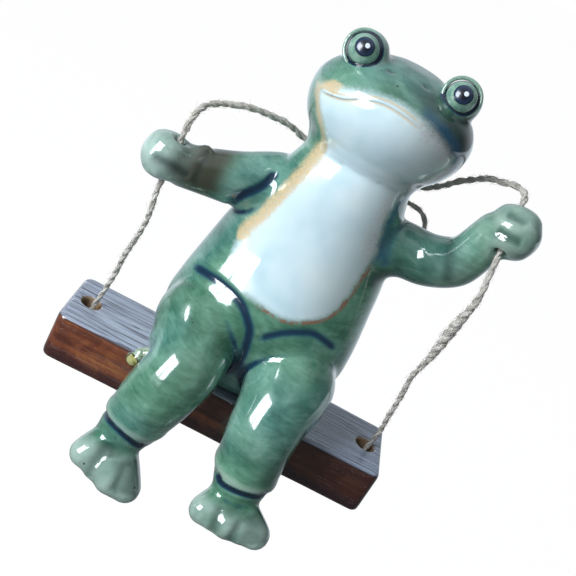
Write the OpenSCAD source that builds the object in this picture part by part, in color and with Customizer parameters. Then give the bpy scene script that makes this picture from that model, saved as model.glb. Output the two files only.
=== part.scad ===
/* [Plank] */
// Length of the swing plank, side to side
plank_l = 130; // [115:1:150]
// Depth of the plank, front to back
plank_w = 34; // [30:0.5:40]
// Thickness of the plank
plank_t = 19; // [15:0.5:24]
// Radius of the plank's upright corners
plank_corner_r = 4; // [2:0.5:6]
// Bore of the rope holes through the plank
plank_hole_d = 7.5; // [6.5:0.25:9]
// Distance from the plank's end to a rope hole's centre
plank_hole_inset = 7.5; // [7:0.25:9]

/* [Torso] */
// Width of the frog across the hips
hip_w = 69.5; // [60:0.5:76]
// Depth that the torso's outline is drawn in
torso_d = 44; // [38:0.5:52]
// Height from the seat to the neck seam
torso_h = 93; // [82:0.5:108]
// Width of the neck at its seam
neck_w = 39; // [34:0.5:44]
// Reach of the neck in front of its middle
neck_front = 15.5; // [13:0.5:18]
// Reach of the neck behind its middle
neck_back = 15; // [13:0.5:17]
// Wall of the slip-cast torso and head
wall_t = 4; // [3:0.25:5]
// Sideways lean of the frog at its neck
lean = 3.2; // [0:0.2:4]
// How far the frog's seat is left of the plank's middle
seat_shift = 1.5; // [0:0.25:3]
// Drain hole under the seat, left by casting
drain_d = 6; // [4:0.5:8]

/* [Head] */
// Width of the head across the cheeks
head_w = 56; // [50:0.5:66]
// Depth that the head's outline is drawn in
head_d = 48; // [42:0.5:54]
// Height from the neck seam to the crown
head_h = 38.5; // [34:0.5:45]
// Distance between the middles of the two eyes
eye_gap = 33; // [29:0.5:37]
// Diameter of an eyelid's dome
eyelid_d = 14.25; // [12.5:0.25:16]
// Diameter of an eyeball
eyeball_d = 10; // [8.5:0.25:11]
// How far an eyeball stands in front of its eyelid's middle
eyeball_front = 3.4; // [2.8:0.1:4]
// How far an eyeball stands above its eyelid's middle
eyeball_rise = 1.8; // [1:0.1:2.2]

/* [Arms] */
// Thickness of an arm at the shoulder
shoulder_d = 24; // [20:0.5:28]
// Height of the shoulders above the seat
shoulder_up = 76; // [66:0.5:84]
// Thickness of a wrist
wrist_d = 14; // [12:0.25:16]
// Thickness of a fist, side to side
fist_d = 18; // [17:0.25:22]
// Length of a fist along the rope in it
fist_h = 15.5; // [14:0.5:19]
// Bore through a fist for the rope
fist_bore_d = 4.5; // [4:0.1:5.5]
// How far a fist's middle is outside its bore
fist_offset = 1.6; // [0:0.1:2]
// How far the left fist's bore is left of the plank's middle
left_fist_out = 52; // [48:0.5:58]
// How far the left fist is in front of the plank's middle
left_fist_front = 17.5; // [12:0.5:20]
// Height of the left fist's middle above the plank
left_fist_up = 72; // [66:0.5:80]
// How far the right fist's bore is right of the plank's middle
right_fist_out = 54.5; // [50:0.5:60]
// How far the right fist is in front of the plank's middle
right_fist_front = 13.5; // [10:0.5:18]
// Height of the right fist's middle above the plank
right_fist_up = 103; // [96:0.5:112]
// Backward tilt of the right fist's bore, in degrees
right_fist_tilt = 37; // [30:1:45]

/* [Legs] */
// Thickness of a thigh
thigh_d = 32; // [28:0.5:36]
// Distance between the middles of the thighs
thigh_gap = 38; // [34:0.5:42]
// Height of the left thigh above the plank's top
left_thigh_h = 39.5; // [36:0.5:42]
// Height of the right thigh above the plank's top
right_thigh_h = 35; // [33:0.5:38]
// How far the left knee leans in from the line from its hip to its ankle
left_knee_in = 4.25; // [2:0.25:6]
// How far the right knee leans in
right_knee_in = 1.25; // [0:0.25:3]
// Distance between the middles of the ankles
ankle_gap = 45.5; // [38:0.5:50]
// How far both ankles are left of the frog's middle line
ankle_shift = 0.75; // [0:0.25:3]
// Drop of the ankles below the plank's top
ankle_drop = 20; // [16:0.5:26]
// Gap between the plank's front face and an ankle's middle
ankle_front = 17; // [14:0.5:20]
// Thickness of an ankle
ankle_d = 16; // [13:0.25:18]
// Length that a foot's toes are placed in, from the ankle's middle
foot_l = 14; // [12:0.5:16]
// Width that a foot's toes are placed in
foot_spread = 16; // [14:0.5:18]
// Thickness of a toe
toe_d = 11.25; // [9.5:0.25:12.5]

/* [Seat] */
// Thickness of the slip that the frog is luted to the plank with
slip_t = 0.6; // [0.4:0.1:1]
// Thickness of the pool of glaze at the left thigh
pool_d = 5.5; // [4:0.25:6.5]
// How far the pool's outer end is left of the plank's middle
pool_out = 32; // [30:0.5:36]

/* [Rope] */
// Diameter of the jute rope
rope_d = 2.4; // [2:0.1:2.8]
// Diameter of a stop knot under the plank
stop_knot_d = 11; // [10:0.25:13]
// Height of a stop knot
stop_knot_h = 5.5; // [4.5:0.25:6.5]
// Length of the cut end below a stop knot
stop_tail_l = 2; // [1:0.25:3]
// Diameter of the knot behind the neck
nape_knot_d = 6.4; // [5.4:0.1:6.6]
// Length of the knot behind the neck
nape_knot_l = 9; // [7.5:0.25:9]

/* [Hidden] */

left = -1;
right = 1;
slice_sides = 30;
ball_sides = 22;
rope_sides = 8;
// Thickness of the thin slices that the cast shapes are drawn through
slice_t = 0.2;
// How far a cut runs past the face that it opens
overrun = 1;

// Each row of the torso and the head: height, width, front and back,
// as shares of the height, of the width and of the depth
torso_shares = [
    [0.00, 0.72, 0.29, 0.34],
    [0.08, 0.90, 0.38, 0.40],
    [0.22, 1.00, 0.52, 0.45],
    [0.38, 0.965, 0.57, 0.46],
    [0.52, 0.91, 0.49, 0.45],
    [0.64, 0.855, 0.43, 0.43],
    [0.78, 0.76, 0.395, 0.40],
    [0.90, 0.65, 0.37, 0.36],
];
head_shares = [
    [0.14, 0.77, 0.40, 0.36],
    [0.28, 0.90, 0.49, 0.39],
    [0.46, 0.99, 0.56, 0.40],
    [0.64, 0.99, 0.59, 0.40],
    [0.79, 0.87, 0.55, 0.34],
    [0.89, 0.68, 0.44, 0.26],
    [0.96, 0.46, 0.29, 0.16],
    [1.00, 0.26, 0.15, 0.08],
];

// Places of the arm's balls: share of the way from shoulder to wrist, drop as a share of the arm's
// thickness at the shoulder, and the share of the way from shoulder to wrist thickness
left_arm_shares = [
    [-0.25, 0.04, 0.90],
    [0.00, 0.10, 0.00],
    [0.40, 0.11, 0.46],
    [0.72, 0.09, 0.76],
    [1.00, 0.06, 0.94],
];
right_arm_shares = [
    [-0.30, 0.21, 0.90],
    [0.00, 0.23, 0.05],
    [0.30, 0.31, 0.45],
    [0.58, 0.48, 0.54],
    [0.80, 0.53, 0.66],
    [0.90, 0.44, 0.84],
    [1.00, 0.04, 1.00],
];
// Places of the leg's balls: shares of the way forward and down from hip to ankle, of the
// knee's lean inward, and thickness as a share of the thigh's
leg_shares = [
    [0.00, 0.00, 0.00, 1.00],
    [0.55, 0.21, 0.90, 0.845],
    [0.71, 0.32, 1.00, 0.81],
    [0.89, 0.58, 0.55, 0.765],
    [1.00, 0.87, 0.12, 0.64],
];
// The ball that rests on the plank below the thigh, placed and sized in the same way
thigh_base_shares = [0.13, 0.35, 0.94];
// Places of the toes from the ankle: sideways as shares of the spread, forward and down
// as shares of the foot's length
left_toe_shares = [
    [-0.47, 0.69, 0.59],
    [0.28, 0.79, 0.87],
    [0.67, 0.69, 0.99],
];
right_toe_shares = [
    [-0.48, 0.69, 0.51],
    [0.12, 0.79, 0.47],
    [0.77, 0.69, 0.48],
];
// Forward and downward shares of the ball of the foot
heel_shares = [0.18, 0.30];
// Thickness of the heel as a share of the ankle's and the toe's together
heel_d_share = 0.6;
// Widths of a fist's fingers, from the little finger up
finger_reach_shares = [0.90, 1.00, 0.92];
// How much of a fist's length its outer fingers overhang, counted in fingers
finger_overhang_share = 0.6;
finger_r_share = 0.8;
// Where the eyes, the hips and the shoulders are in the head and the torso
eye_up_share = 0.945;
eye_front_share = 0.17;
hip_front_share = 0.42;
shoulder_out_share = 0.87;
shoulder_back_share = 0.08;
// Size of the bed of slip in the torso's width and depth
slip_l_share = 0.68;
slip_w_share = 0.5;
// Places of the pool's balls from its outer end, and their thickness, as shares of its thickness
pool_shares = [
    [0.00, -0.10, -0.20, 1.00],
    [0.50, 0.20, 0.25, 1.00],
    [1.00, 0.90, 0.45, 0.80],
];

seat_z = slip_t;
neck_z = seat_z + torso_h;
eye_z = neck_z + head_h * eye_up_share;
eye_y = -head_d * eye_front_share;
hole_x = plank_l / 2 - plank_hole_inset;
hip_y = -torso_d * hip_front_share;

// Routes of the rope, chosen by hand, from each stop knot up and from each fist to the nape
left_lower_route = [
    [-57.5, 0, -19], [-57.5, 0, -12], [-57, 0, -5], [-56, 0, 2], [-55, -1.5, 9], [-54, -4, 16.5],
    [-53.5, -7, 25.5], [-52.5, -10.5, 34], [-51.5, -13.5, 41.5], [-51, -16, 48.5], [-51.5, -17.5, 55.5],
    [-52, -17.5, 61.5], [-52, -17.5, 68], [-52, -17.5, 75.5], [-52, -17.5, 83],
];
left_upper_route = [
    [-52, -17.5, 83], [-52, -17.5, 85], [-51.5, -14.5, 88.5], [-49.5, -8.5, 91], [-44, -2.5, 92.5],
    [-38, 1.5, 93.5], [-31, 6.5, 93], [-23.5, 12, 91.5], [-15.5, 17.5, 88], [-8, 21, 87.5],
    [0, 23.5, 89], [8, 24, 90], [14.5, 24, 90],
];
right_lower_route = [
    [57.5, 0, -19], [57.5, 0, -12], [58, 0, -5], [59, 0, 2], [59, -1.5, 8.5], [58, -4, 17],
    [57, -6.5, 28], [55.5, -9.5, 39], [56, -13.5, 50], [55.5, -18, 62], [55.5, -21.5, 71.5],
    [55.5, -24.5, 80], [55, -25, 86], [54.5, -22.5, 91], [54.5, -19.5, 95], [54.5, -13.5, 103],
    [54.5, -6.75, 112],
];
right_upper_route = [
    [54.5, -6.75, 112], [54.5, -6, 113], [53.5, -3.5, 114], [51, 0, 113.5], [48, 2.5, 112],
    [44, 6, 110], [40, 10, 106], [37, 13, 102.5], [34.5, 16, 98.5], [31.5, 19.5, 94.5],
    [28.5, 22.5, 91.5], [26, 24, 90], [23.5, 24, 90],
];
loop_route = [
    [17, 24, 86.5], [17, 24, 85.5], [14, 24, 83.5], [9.5, 24, 83.5], [4.5, 24, 82.5], [1, 24, 78.5],
    [0.5, 24, 72], [2, 24, 65], [5.5, 24, 57], [8.5, 24, 49], [11.5, 24, 41], [14.5, 24, 34.5],
    [19, 24, 31.5], [23.5, 24, 34.5], [26.5, 24, 41], [29.5, 24, 49], [32.5, 24, 57], [36, 24, 65],
    [37.5, 24, 72], [37, 24, 78.5], [33.5, 24, 82.5], [28.5, 24, 83.5], [24, 24, 83.5],
    [21, 24, 85.5], [21, 24, 86.5],
];
nape_place = [19, 24, 90];
// Where a hook bears in the hanging loop
hang_place = [19, 24, 31.5 + rope_d / 2];

glaze_green = "#6f9a86";
glaze_pale = "#9fb8a6";
pupil_navy = "#14203a";
plank_brown = "#6b4430";
pool_olive = "#a8b478";
jute = "#a3947d";

// Everything is drawn round the plank's top middle and moved once to the hanging place
module placed() translate(-hang_place) children();

// Sideways middle of the leaning frog at a height above the plank
function middle(z) = lean * z / torso_h - seat_shift * max(0, 1 - z / torso_h);

// One thin oval slice of a cast shape
module slice(z, width, front, back)
    translate([middle(z), (back - front) / 2, z])
        scale([1, (front + back) / width, 1])
            cylinder(d = width, h = slice_t, $fn = slice_sides);

// The row at the neck seam, moved up by a rise
function neck_row(rise) = [neck_z + rise, neck_w, neck_front, neck_back];

// Rows of the torso and the head in millimetres: height, width, front, back
torso_rows = concat(
    [for (r = torso_shares)
        [seat_z + torso_h * r[0], hip_w * r[1], torso_d * r[2], torso_d * r[3]]],
    [neck_row(0)]
);
head_rows = concat(
    [neck_row(0)],
    [for (r = head_shares)
        [neck_z + head_h * r[0], head_w * r[1], head_d * r[2], head_d * r[3]]]
);

// A shape drawn through rows, drawn in by an inset for the cavity
module through_rows(rows, inset, low, high)
    for (i = [0 : len(rows) - 2])
        hull()
            for (r = [rows[i], rows[i + 1]])
                slice(min(max(r[0], low), high), r[1] - 2 * inset, r[2] - inset, r[3] - inset);

module torso_form() through_rows(torso_rows, 0, seat_z, neck_z - slice_t);

module head_form() through_rows(head_rows, 0, neck_z, neck_z + head_h);

// The cavity runs from one casting into the other through the open neck
module torso()
    color(glaze_green) placed() difference() {
        torso_form();
        through_rows(concat(torso_rows, [neck_row(overrun)]), wall_t, seat_z + wall_t,
            neck_z + overrun);
        translate([0, 0, seat_z - overrun])
            cylinder(d = drain_d, h = wall_t + 2 * overrun, $fn = slice_sides);
    }

module head()
    color(glaze_green) placed() difference() {
        head_form();
        through_rows(concat([neck_row(-overrun)], head_rows), wall_t, neck_z - overrun,
            neck_z + head_h - wall_t);
    }

function eyelid_place(side) = [middle(neck_z) + side * eye_gap / 2, eye_y, eye_z];

module eyeball_form(side)
    translate(eyelid_place(side) + [0, -eyeball_front, eyeball_rise])
        sphere(d = eyeball_d, $fn = slice_sides);

module eyelid(side)
    color(glaze_pale) placed() difference() {
        translate(eyelid_place(side))
            sphere(d = eyelid_d, $fn = slice_sides);
        eyeball_form(side);
        head_form();
    }

module eyeball(side)
    color(pupil_navy) placed() difference() {
        eyeball_form(side);
        head_form();
    }

// A fist is a stack of three fingers curled round the rope, the middle one the widest
fingers = len(finger_reach_shares);
finger_h = fist_h / (fingers + finger_overhang_share);
finger_r = finger_h * finger_r_share;

// How far the cut in an arm stands off the round fist that it is luted to
lute_gap = 0.05;

module fist_form(grow = 0)
    rotate_extrude($fn = slice_sides * 2)
        intersection() {
            union() {
                for (i = [0 : fingers - 1])
                    translate([
                        fist_d / 2 * finger_reach_shares[i] - finger_r,
                        (i - (fingers - 1) / 2) * finger_h,
                    ])
                        circle(r = finger_r + grow, $fn = slice_sides);
                translate([0, -fist_h / 2 - grow])
                    square([
                        fist_d / 2 * min(finger_reach_shares) - finger_r,
                        fist_h + 2 * grow,
                    ]);
            }
            translate([0, -fist_h / 2 - grow])
                square([fist_d, fist_h + 2 * grow]);
        }

left_fist_place = [-left_fist_out, -left_fist_front, left_fist_up];
right_fist_place = [right_fist_out, -right_fist_front, right_fist_up];

module at_left_fist() translate(left_fist_place) children();

module at_right_fist()
    translate(right_fist_place)
        rotate([-right_fist_tilt, 0, 0])
            children();

module fist_body(side, grow = 0) translate([side * fist_offset, 0, 0]) fist_form(grow);

module bored_fist(side)
    difference() {
        fist_body(side);
        cylinder(d = fist_bore_d, h = fist_h + 2 * overrun, center = true, $fn = slice_sides);
    }

// What a fist takes out of its arm: its own shape, and the rope's way in and out of it
module fist_cut(side) {
    fist_body(side, lute_gap);
    cylinder(d = fist_bore_d, h = 2 * fist_h, center = true, $fn = slice_sides);
}

module left_fist() color(glaze_green) placed() at_left_fist() bored_fist(left);

module right_fist() color(glaze_green) placed() at_right_fist() bored_fist(right);

function mix(a, b, share) = a + (b - a) * share;

// Balls of an arm from a shoulder to its fist
function arm_balls(shoulder, fist, shares) = [
    for (s = shares) [
        mix(shoulder, mix(shoulder, fist, 1 - fist_d / 4 / norm(fist - shoulder)), s[0])
            - [0, 0, shoulder_d * s[1]],
        mix(shoulder_d, wrist_d, s[2]),
    ]
];

// A limb is a chain of balls, each row a place and a thickness
module limb(balls)
    for (i = [0 : len(balls) - 2])
        hull()
            for (b = [balls[i], balls[i + 1]])
                translate(b[0])
                    sphere(d = b[1], $fn = ball_sides);

function shoulder_place(side) = [
    middle(shoulder_up) + side * (hip_w * shoulder_out_share - shoulder_d) / 2,
    torso_d * shoulder_back_share,
    shoulder_up,
];

module left_arm()
    color(glaze_green) placed() difference() {
        limb(arm_balls(shoulder_place(left), left_fist_place, left_arm_shares));
        torso_form();
        at_left_fist() fist_cut(left);
    }

module right_arm()
    color(glaze_green) placed() difference() {
        limb(arm_balls(shoulder_place(right), right_fist_place, right_arm_shares));
        torso_form();
        at_right_fist() fist_cut(right);
    }

// Hip and ankle middles, and the balls between them
function hip_place(side) = [
    middle(thigh_d / 2) + side * thigh_gap / 2,
    hip_y,
    (side == left ? left_thigh_h : right_thigh_h) - thigh_d / 2,
];

function knee_lean(side) = -side * (side == left ? left_knee_in : right_knee_in);

function ankle_place(side) = [
    middle(-ankle_drop) - ankle_shift + side * ankle_gap / 2,
    -plank_w / 2 - ankle_front,
    -ankle_drop,
];

function leg_ball(side, s) =
    let (h = hip_place(side), a = ankle_place(side))
    [
        [
            mix(h[0], a[0], s[1]) + knee_lean(side) * s[2],
            mix(h[1], a[1], s[0]),
            mix(h[2], a[2], s[1]),
        ],
        thigh_d * s[3],
    ];

function thigh_base(side) =
    let (h = hip_place(side), a = ankle_place(side), s = thigh_base_shares)
    [
        [h[0] + knee_lean(side) * s[1], mix(h[1], a[1], s[0]), seat_z + thigh_d * s[2] / 2],
        thigh_d * s[2],
    ];

function leg_balls(side) = concat(
    [thigh_base(side)],
    [for (s = leg_shares) leg_ball(side, s)],
    [[ankle_place(side), ankle_d]]
);

module plank_block()
    translate([-plank_l / 2, -plank_w / 2, -plank_t])
        cube([plank_l, plank_w, plank_t]);

module leg(side)
    color(glaze_green) placed() difference() {
        limb(leg_balls(side));
        torso_form();
        plank_block();
    }

module foot(side, toe_shares)
    color(glaze_pale) placed() difference() {
        translate(ankle_place(side))
            for (t = toe_shares)
                hull() {
                    translate([0, -foot_l * heel_shares[0], -foot_l * heel_shares[1]])
                        sphere(d = (ankle_d + toe_d) * heel_d_share, $fn = ball_sides);
                    translate([foot_spread * t[0], -foot_l * t[1], -foot_l * t[2]])
                        sphere(d = toe_d, $fn = ball_sides);
                }
        limb(leg_balls(side));
        torso_form();
    }

module plank()
    color(plank_brown) placed() difference() {
        translate([0, 0, -plank_t])
            linear_extrude(plank_t) {
                square([plank_l, plank_w - 2 * plank_corner_r], center = true);
                square([plank_l - 2 * plank_corner_r, plank_w], center = true);
                for (x = [left, right], y = [left, right])
                    translate([x * (plank_l / 2 - plank_corner_r), y * (plank_w / 2 - plank_corner_r)])
                        circle(r = plank_corner_r, $fn = slice_sides);
            }
        for (side = [left, right])
            translate([side * hole_x, 0, -plank_t - overrun])
                cylinder(d = plank_hole_d, h = plank_t + 2 * overrun, $fn = slice_sides);
    }

slip_w = torso_d * slip_w_share;
slip_l = hip_w * slip_l_share;

module seat_slip()
    color(glaze_pale) placed() linear_extrude(slip_t) {
        square([slip_l - slip_w, slip_w], center = true);
        for (side = [left, right])
            translate([side * (slip_l - slip_w) / 2, 0])
                circle(d = slip_w, $fn = slice_sides);
    }

// Glaze has pooled along the plank's front edge and in under the left thigh
module glaze_pool()
    color(pool_olive) placed() difference() {
        translate([-pool_out, -plank_w / 2, 0])
            limb([for (s = pool_shares) [pool_d * [s[0], s[1], s[2]], pool_d * s[3]]]);
        limb(leg_balls(left));
        torso_form();
        plank_block();
    }

// Rope: an eight-sided tube swept along its route; its rings are turned from a direction
// that the route never runs along
level_turn = [0, 1, 0];
left_upper_turn = [1, -2, 1];
right_upper_turn = [-1, -2, 1];

function unit(v) = v / norm(v);

function along(route, i) =
    unit(route[min(i + 1, len(route) - 1)] - route[max(i - 1, 0)]);

function ring(route, turn, i) =
    let (
        t = along(route, i),
        u = unit(cross(t, turn)),
        v = cross(t, u)
    )
    [for (k = [0 : rope_sides - 1])
        route[i] + (u * cos(360 * k / rope_sides) + v * sin(360 * k / rope_sides)) * rope_d / 2];

module rope(route, turn)
    let (
        n = len(route),
        points = [for (i = [0 : n - 1]) each ring(route, turn, i)],
        sides = [for (i = [0 : n - 2], k = [0 : rope_sides - 1])
            let (a = i * rope_sides + k, b = i * rope_sides + (k + 1) % rope_sides)
            [a, b, b + rope_sides, a + rope_sides]],
        first = [for (k = [rope_sides - 1 : -1 : 0]) k],
        last = [for (k = [0 : rope_sides - 1]) (n - 1) * rope_sides + k]
    )
    polyhedron(points = points, faces = concat(sides, [first, last]));

module left_lower_rope() color(jute) placed() rope(left_lower_route, level_turn);

module right_lower_rope() color(jute) placed() rope(right_lower_route, level_turn);

module left_upper_rope() color(jute) placed() rope(left_upper_route, left_upper_turn);

module right_upper_rope() color(jute) placed() rope(right_upper_route, right_upper_turn);

module hanging_loop() color(jute) placed() rope(loop_route, level_turn);

// A stop knot is two fat turns round a core, with the rope's cut end below it
stop_turns = 2;
stop_turn_d = stop_knot_h / stop_turns;

module stop_knot(side)
    color(jute) placed() translate([side * hole_x, 0, -plank_t]) rotate([180, 0, 0]) {
        cylinder(d = stop_knot_d - stop_turn_d, h = stop_knot_h, $fn = slice_sides);
        for (i = [0 : stop_turns - 1])
            translate([0, 0, stop_turn_d * (i + 1 / 2)])
                rotate_extrude($fn = slice_sides)
                    translate([(stop_knot_d - stop_turn_d) / 2, 0])
                        circle(d = stop_turn_d, $fn = slice_sides);
        cylinder(d = rope_d, h = stop_knot_h + stop_tail_l, $fn = slice_sides);
    }

// The nape knot is three turns round a core that lies across the neck
nape_turns = 3;
nape_turn_d = nape_knot_l / nape_turns;

module nape_knot()
    color(jute) placed() translate(nape_place) rotate([0, 90, 0]) {
        cylinder(d = nape_knot_d - nape_turn_d, h = nape_knot_l, center = true, $fn = slice_sides);
        for (i = [0 : nape_turns - 1])
            translate([0, 0, nape_turn_d * (i + 1 / 2) - nape_knot_l / 2])
                rotate_extrude($fn = slice_sides)
                    translate([nape_knot_d / 2 - nape_turn_d / 2, 0])
                        circle(d = nape_turn_d, $fn = slice_sides);
    }

torso();
head();
eyelid(left);  // left_eyelid
eyelid(right);  // right_eyelid
eyeball(left);  // left_eyeball
eyeball(right);  // right_eyeball
left_arm();
right_arm();
left_fist();
right_fist();
leg(left);  // left_leg
leg(right);  // right_leg
foot(left, left_toe_shares);  // left_foot
foot(right, right_toe_shares);  // right_foot
plank();
seat_slip();
glaze_pool();
left_lower_rope();
right_lower_rope();
left_upper_rope();
right_upper_rope();
stop_knot(left);  // left_stop_knot
stop_knot(right);  // right_stop_knot
nape_knot();
hanging_loop();
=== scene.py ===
"""Dresses the frog hanging ornament: a celadon-glazed frog on a wood-look plank swing, on jute twine."""
import logging
import math
from dataclasses import dataclass
from enum import Enum

import bpy
import numpy as np
from mathutils import Matrix
from mathutils import Vector


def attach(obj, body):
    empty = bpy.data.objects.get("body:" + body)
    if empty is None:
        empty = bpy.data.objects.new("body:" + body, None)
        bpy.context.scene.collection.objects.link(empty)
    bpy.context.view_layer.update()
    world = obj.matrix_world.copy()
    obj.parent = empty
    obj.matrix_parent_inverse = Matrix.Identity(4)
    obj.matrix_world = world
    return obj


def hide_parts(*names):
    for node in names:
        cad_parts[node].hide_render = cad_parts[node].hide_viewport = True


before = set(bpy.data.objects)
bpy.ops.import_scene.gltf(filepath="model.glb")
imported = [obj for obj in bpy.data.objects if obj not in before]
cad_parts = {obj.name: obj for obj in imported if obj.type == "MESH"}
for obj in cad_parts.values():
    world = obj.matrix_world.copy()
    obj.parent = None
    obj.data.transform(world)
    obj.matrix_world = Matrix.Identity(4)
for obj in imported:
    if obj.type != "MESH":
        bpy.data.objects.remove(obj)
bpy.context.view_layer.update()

log = logging.getLogger("frog_ornament")

# One millimetre in metres
MM = 0.001
# The eye of the hanging loop, in millimetres from the middle of the plank's top
HANG_PLACE = Vector((19.0, 24.0, 32.7))
LEFT = -1
RIGHT = 1
# How thick the plank is, and how far its rope holes are from its middle
PLANK_T = 19.0
HOLE_OUT = 57.5

Row = tuple[float, ...]
Route = tuple[Row, ...]
Array = np.ndarray
Thing = bpy.types.Object
Socket = bpy.types.NodeSocket
Feed = float | tuple | Socket


def at(x: float, y: float, z: float) -> Vector:
    """Turns millimetres from the middle of the plank's top into metres in the row frame."""
    return (Vector((x, y, z)) - HANG_PLACE) * MM


def linear(colour: str) -> tuple[float, float, float, float]:
    """Turns a colour written as #rrggbb into the linear light that shaders take."""
    parts = [int(colour[i : i + 2], 16) / 255 for i in (1, 3, 5)]
    light = [c / 12.92 if c <= 0.04045 else ((c + 0.055) / 1.055) ** 2.4 for c in parts]
    return (light[0], light[1], light[2], 1.0)


def rises(values: Array, none: float, full: float) -> Array:
    """Rises smoothly from 0 at none to 1 at full, which may be the lower number."""
    share = np.clip((values - none) / (full - none), 0.0, 1.0)
    return share * share * (3 - 2 * share)


def within(values: Array, limits: Row) -> Array:
    """Rises from 0 to 1 between the first two limits and falls back between the last two."""
    return rises(values, limits[0], limits[1]) * rises(values, limits[3], limits[2])


def bell(values: Array, width: float) -> Array:
    """Gives 1 at 0 and fades over a width."""
    return np.exp(-((values / width) ** 2))


def distance(points: Array, place: Row) -> Array:
    """Gives how far each point is from a place."""
    return np.linalg.norm(points - np.array(place), axis=1)


def curve_through(rows: Route | Array, step: float, places: int = 3) -> Array:
    """Draws a smooth curve through rows of numbers.

    Args:
        rows: one row for each point that the curve passes.
        step: the spacing wanted along the curve, in the units of the rows.
        places: how many leading numbers of a row are its place.

    Returns:
        Rows at even spacing along the curve, both ends included.
    """
    rows = np.array(rows, float)
    ends = [2 * rows[0] - rows[1], *rows, 2 * rows[-1] - rows[-2]]
    fine = []
    for a, b, c, d in zip(ends, ends[1:], ends[2:], ends[3:]):
        for t in np.linspace(0, 1, 24, endpoint=False):
            squared = (2 * a - 5 * b + 4 * c - d) * t**2
            cubed = (3 * b - a - 3 * c + d) * t**3
            fine.append(0.5 * (2 * b + (c - a) * t + squared + cubed))
    dense = np.array([*fine, rows[-1]])
    along = np.linalg.norm(np.diff(dense[:, :places], axis=0), axis=1)
    reach = np.concatenate([[0.0], np.cumsum(along)])
    stops = np.linspace(0, reach[-1], max(2, round(reach[-1] / step) + 1))
    return np.stack([np.interp(stops, reach, column) for column in dense.T], axis=1)


def line_distance(points: Array, line: Route | Array) -> tuple[Array, Array]:
    """Measures points against a line of straight runs in a plane.

    Args:
        points: places in the plane.
        line: the line's corners.

    Returns:
        The distance of each point, and its side: 1 to the left of the line and -1 to the right.
    """
    line = np.array(line, float)
    best = np.full(len(points), 1e9)
    side = np.ones(len(points))
    for a, b in zip(line, line[1:]):
        run = b - a
        away = points - a
        share = np.clip(away @ run / max(run @ run, 1e-9), 0, 1)
        gap = np.linalg.norm(away - share[:, None] * run, axis=1)
        turn = run[0] * away[:, 1] - run[1] * away[:, 0]
        nearer = gap < best
        best = np.where(nearer, gap, best)
        side = np.where(nearer, np.sign(turn), side)
    return best, side


def inside_ring(points: Array, ring: Array) -> Array:
    """Tells which points of a plane are inside a closed ring of corners."""
    inside = np.zeros(len(points), bool)
    for a, b in zip(ring, np.roll(ring, -1, axis=0)):
        crosses = (a[1] > points[:, 1]) != (b[1] > points[:, 1])
        slope = (b[0] - a[0]) / (b[1] - a[1] + 1e-12)
        inside ^= crosses & (points[:, 0] < a[0] + slope * (points[:, 1] - a[1]))
    return inside


# Meshes


def deselect() -> None:
    """Leaves nothing selected and no object in edit mode."""
    if bpy.context.object is not None and bpy.context.object.mode != "OBJECT":
        bpy.ops.object.mode_set(mode="OBJECT")
    bpy.ops.object.select_all(action="DESELECT")


def pick(obj: Thing) -> None:
    """Selects one object and makes it the active one."""
    deselect()
    obj.select_set(True)
    bpy.context.view_layer.objects.active = obj


def apply_modifier(obj: Thing, kind: str, **settings: object) -> None:
    """Adds one modifier to an object, with the settings given, and applies it."""
    pick(obj)
    modifier = obj.modifiers.new(kind.title(), kind)
    for name, value in settings.items():
        setattr(modifier, name, value)
    bpy.ops.object.modifier_apply(modifier=modifier.name)


def remesh(obj: Thing, voxel: float) -> None:
    """Draws one even skin over an object, with faces of the size given in millimetres."""
    apply_modifier(obj, "REMESH", mode="VOXEL", voxel_size=voxel * MM)


def join(objects: list[Thing], name: str) -> Thing:
    """Joins objects into the first of them, names it and settles its place into its mesh."""
    deselect()
    for obj in objects:
        obj.select_set(True)
    bpy.context.view_layer.objects.active = objects[0]
    if len(objects) > 1:
        bpy.ops.object.join()
    bpy.ops.object.transform_apply(location=True, rotation=True, scale=True)
    objects[0].name = name
    objects[0].data.name = name
    return objects[0]


def drill(obj: Thing, place: Row, radius: float, depth: float, sides: int, tilt: float = 0.0) -> None:
    """Bores a round hole through an object.

    Args:
        obj: the object to bore.
        place: the middle of the hole.
        radius: the hole's radius in millimetres.
        depth: the drill's length in millimetres.
        sides: how many flat sides the drill has.
        tilt: how far the hole leans back, in degrees.
    """
    deselect()
    turn = (-math.radians(tilt), 0, 0)
    bpy.ops.mesh.primitive_cylinder_add(
        vertices=sides, radius=radius * MM, depth=depth * MM, location=at(*place), rotation=turn
    )
    tool = bpy.context.object
    apply_modifier(obj, "BOOLEAN", operation="DIFFERENCE", object=tool, solver="EXACT")
    bpy.data.objects.remove(tool)


def ball_chain(name: str, chains: list[Array]) -> Thing:
    """Models one ball and copies it along chains.

    Args:
        name: the joined chain's name.
        chains: place and radius of each ball, in millimetres; three radii make it oval.

    Returns:
        The joined balls.
    """
    deselect()
    bpy.ops.mesh.primitive_ico_sphere_add(subdivisions=4, radius=MM, location=(0, 0, 0))
    first = bpy.context.object
    copies = []
    for ball in np.concatenate(chains):
        copy = bpy.data.objects.new(name, first.data.copy())
        bpy.context.scene.collection.objects.link(copy)
        radii = ball[3:] if len(ball) > 4 else np.repeat(ball[3], 3)
        copy.data.transform(Matrix.Translation(at(*ball[:3])) @ Matrix.Diagonal((*radii, 1.0)))
        copies.append(copy)
    bpy.data.objects.remove(first)
    return join(copies, name)


def points_of(obj: Thing) -> Array:
    """Gives a mesh's points in millimetres from the middle of the plank's top."""
    flat = np.zeros(len(obj.data.vertices) * 3)
    obj.data.vertices.foreach_get("co", flat)
    return flat.reshape(-1, 3) / MM + np.array(HANG_PLACE)


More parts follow.
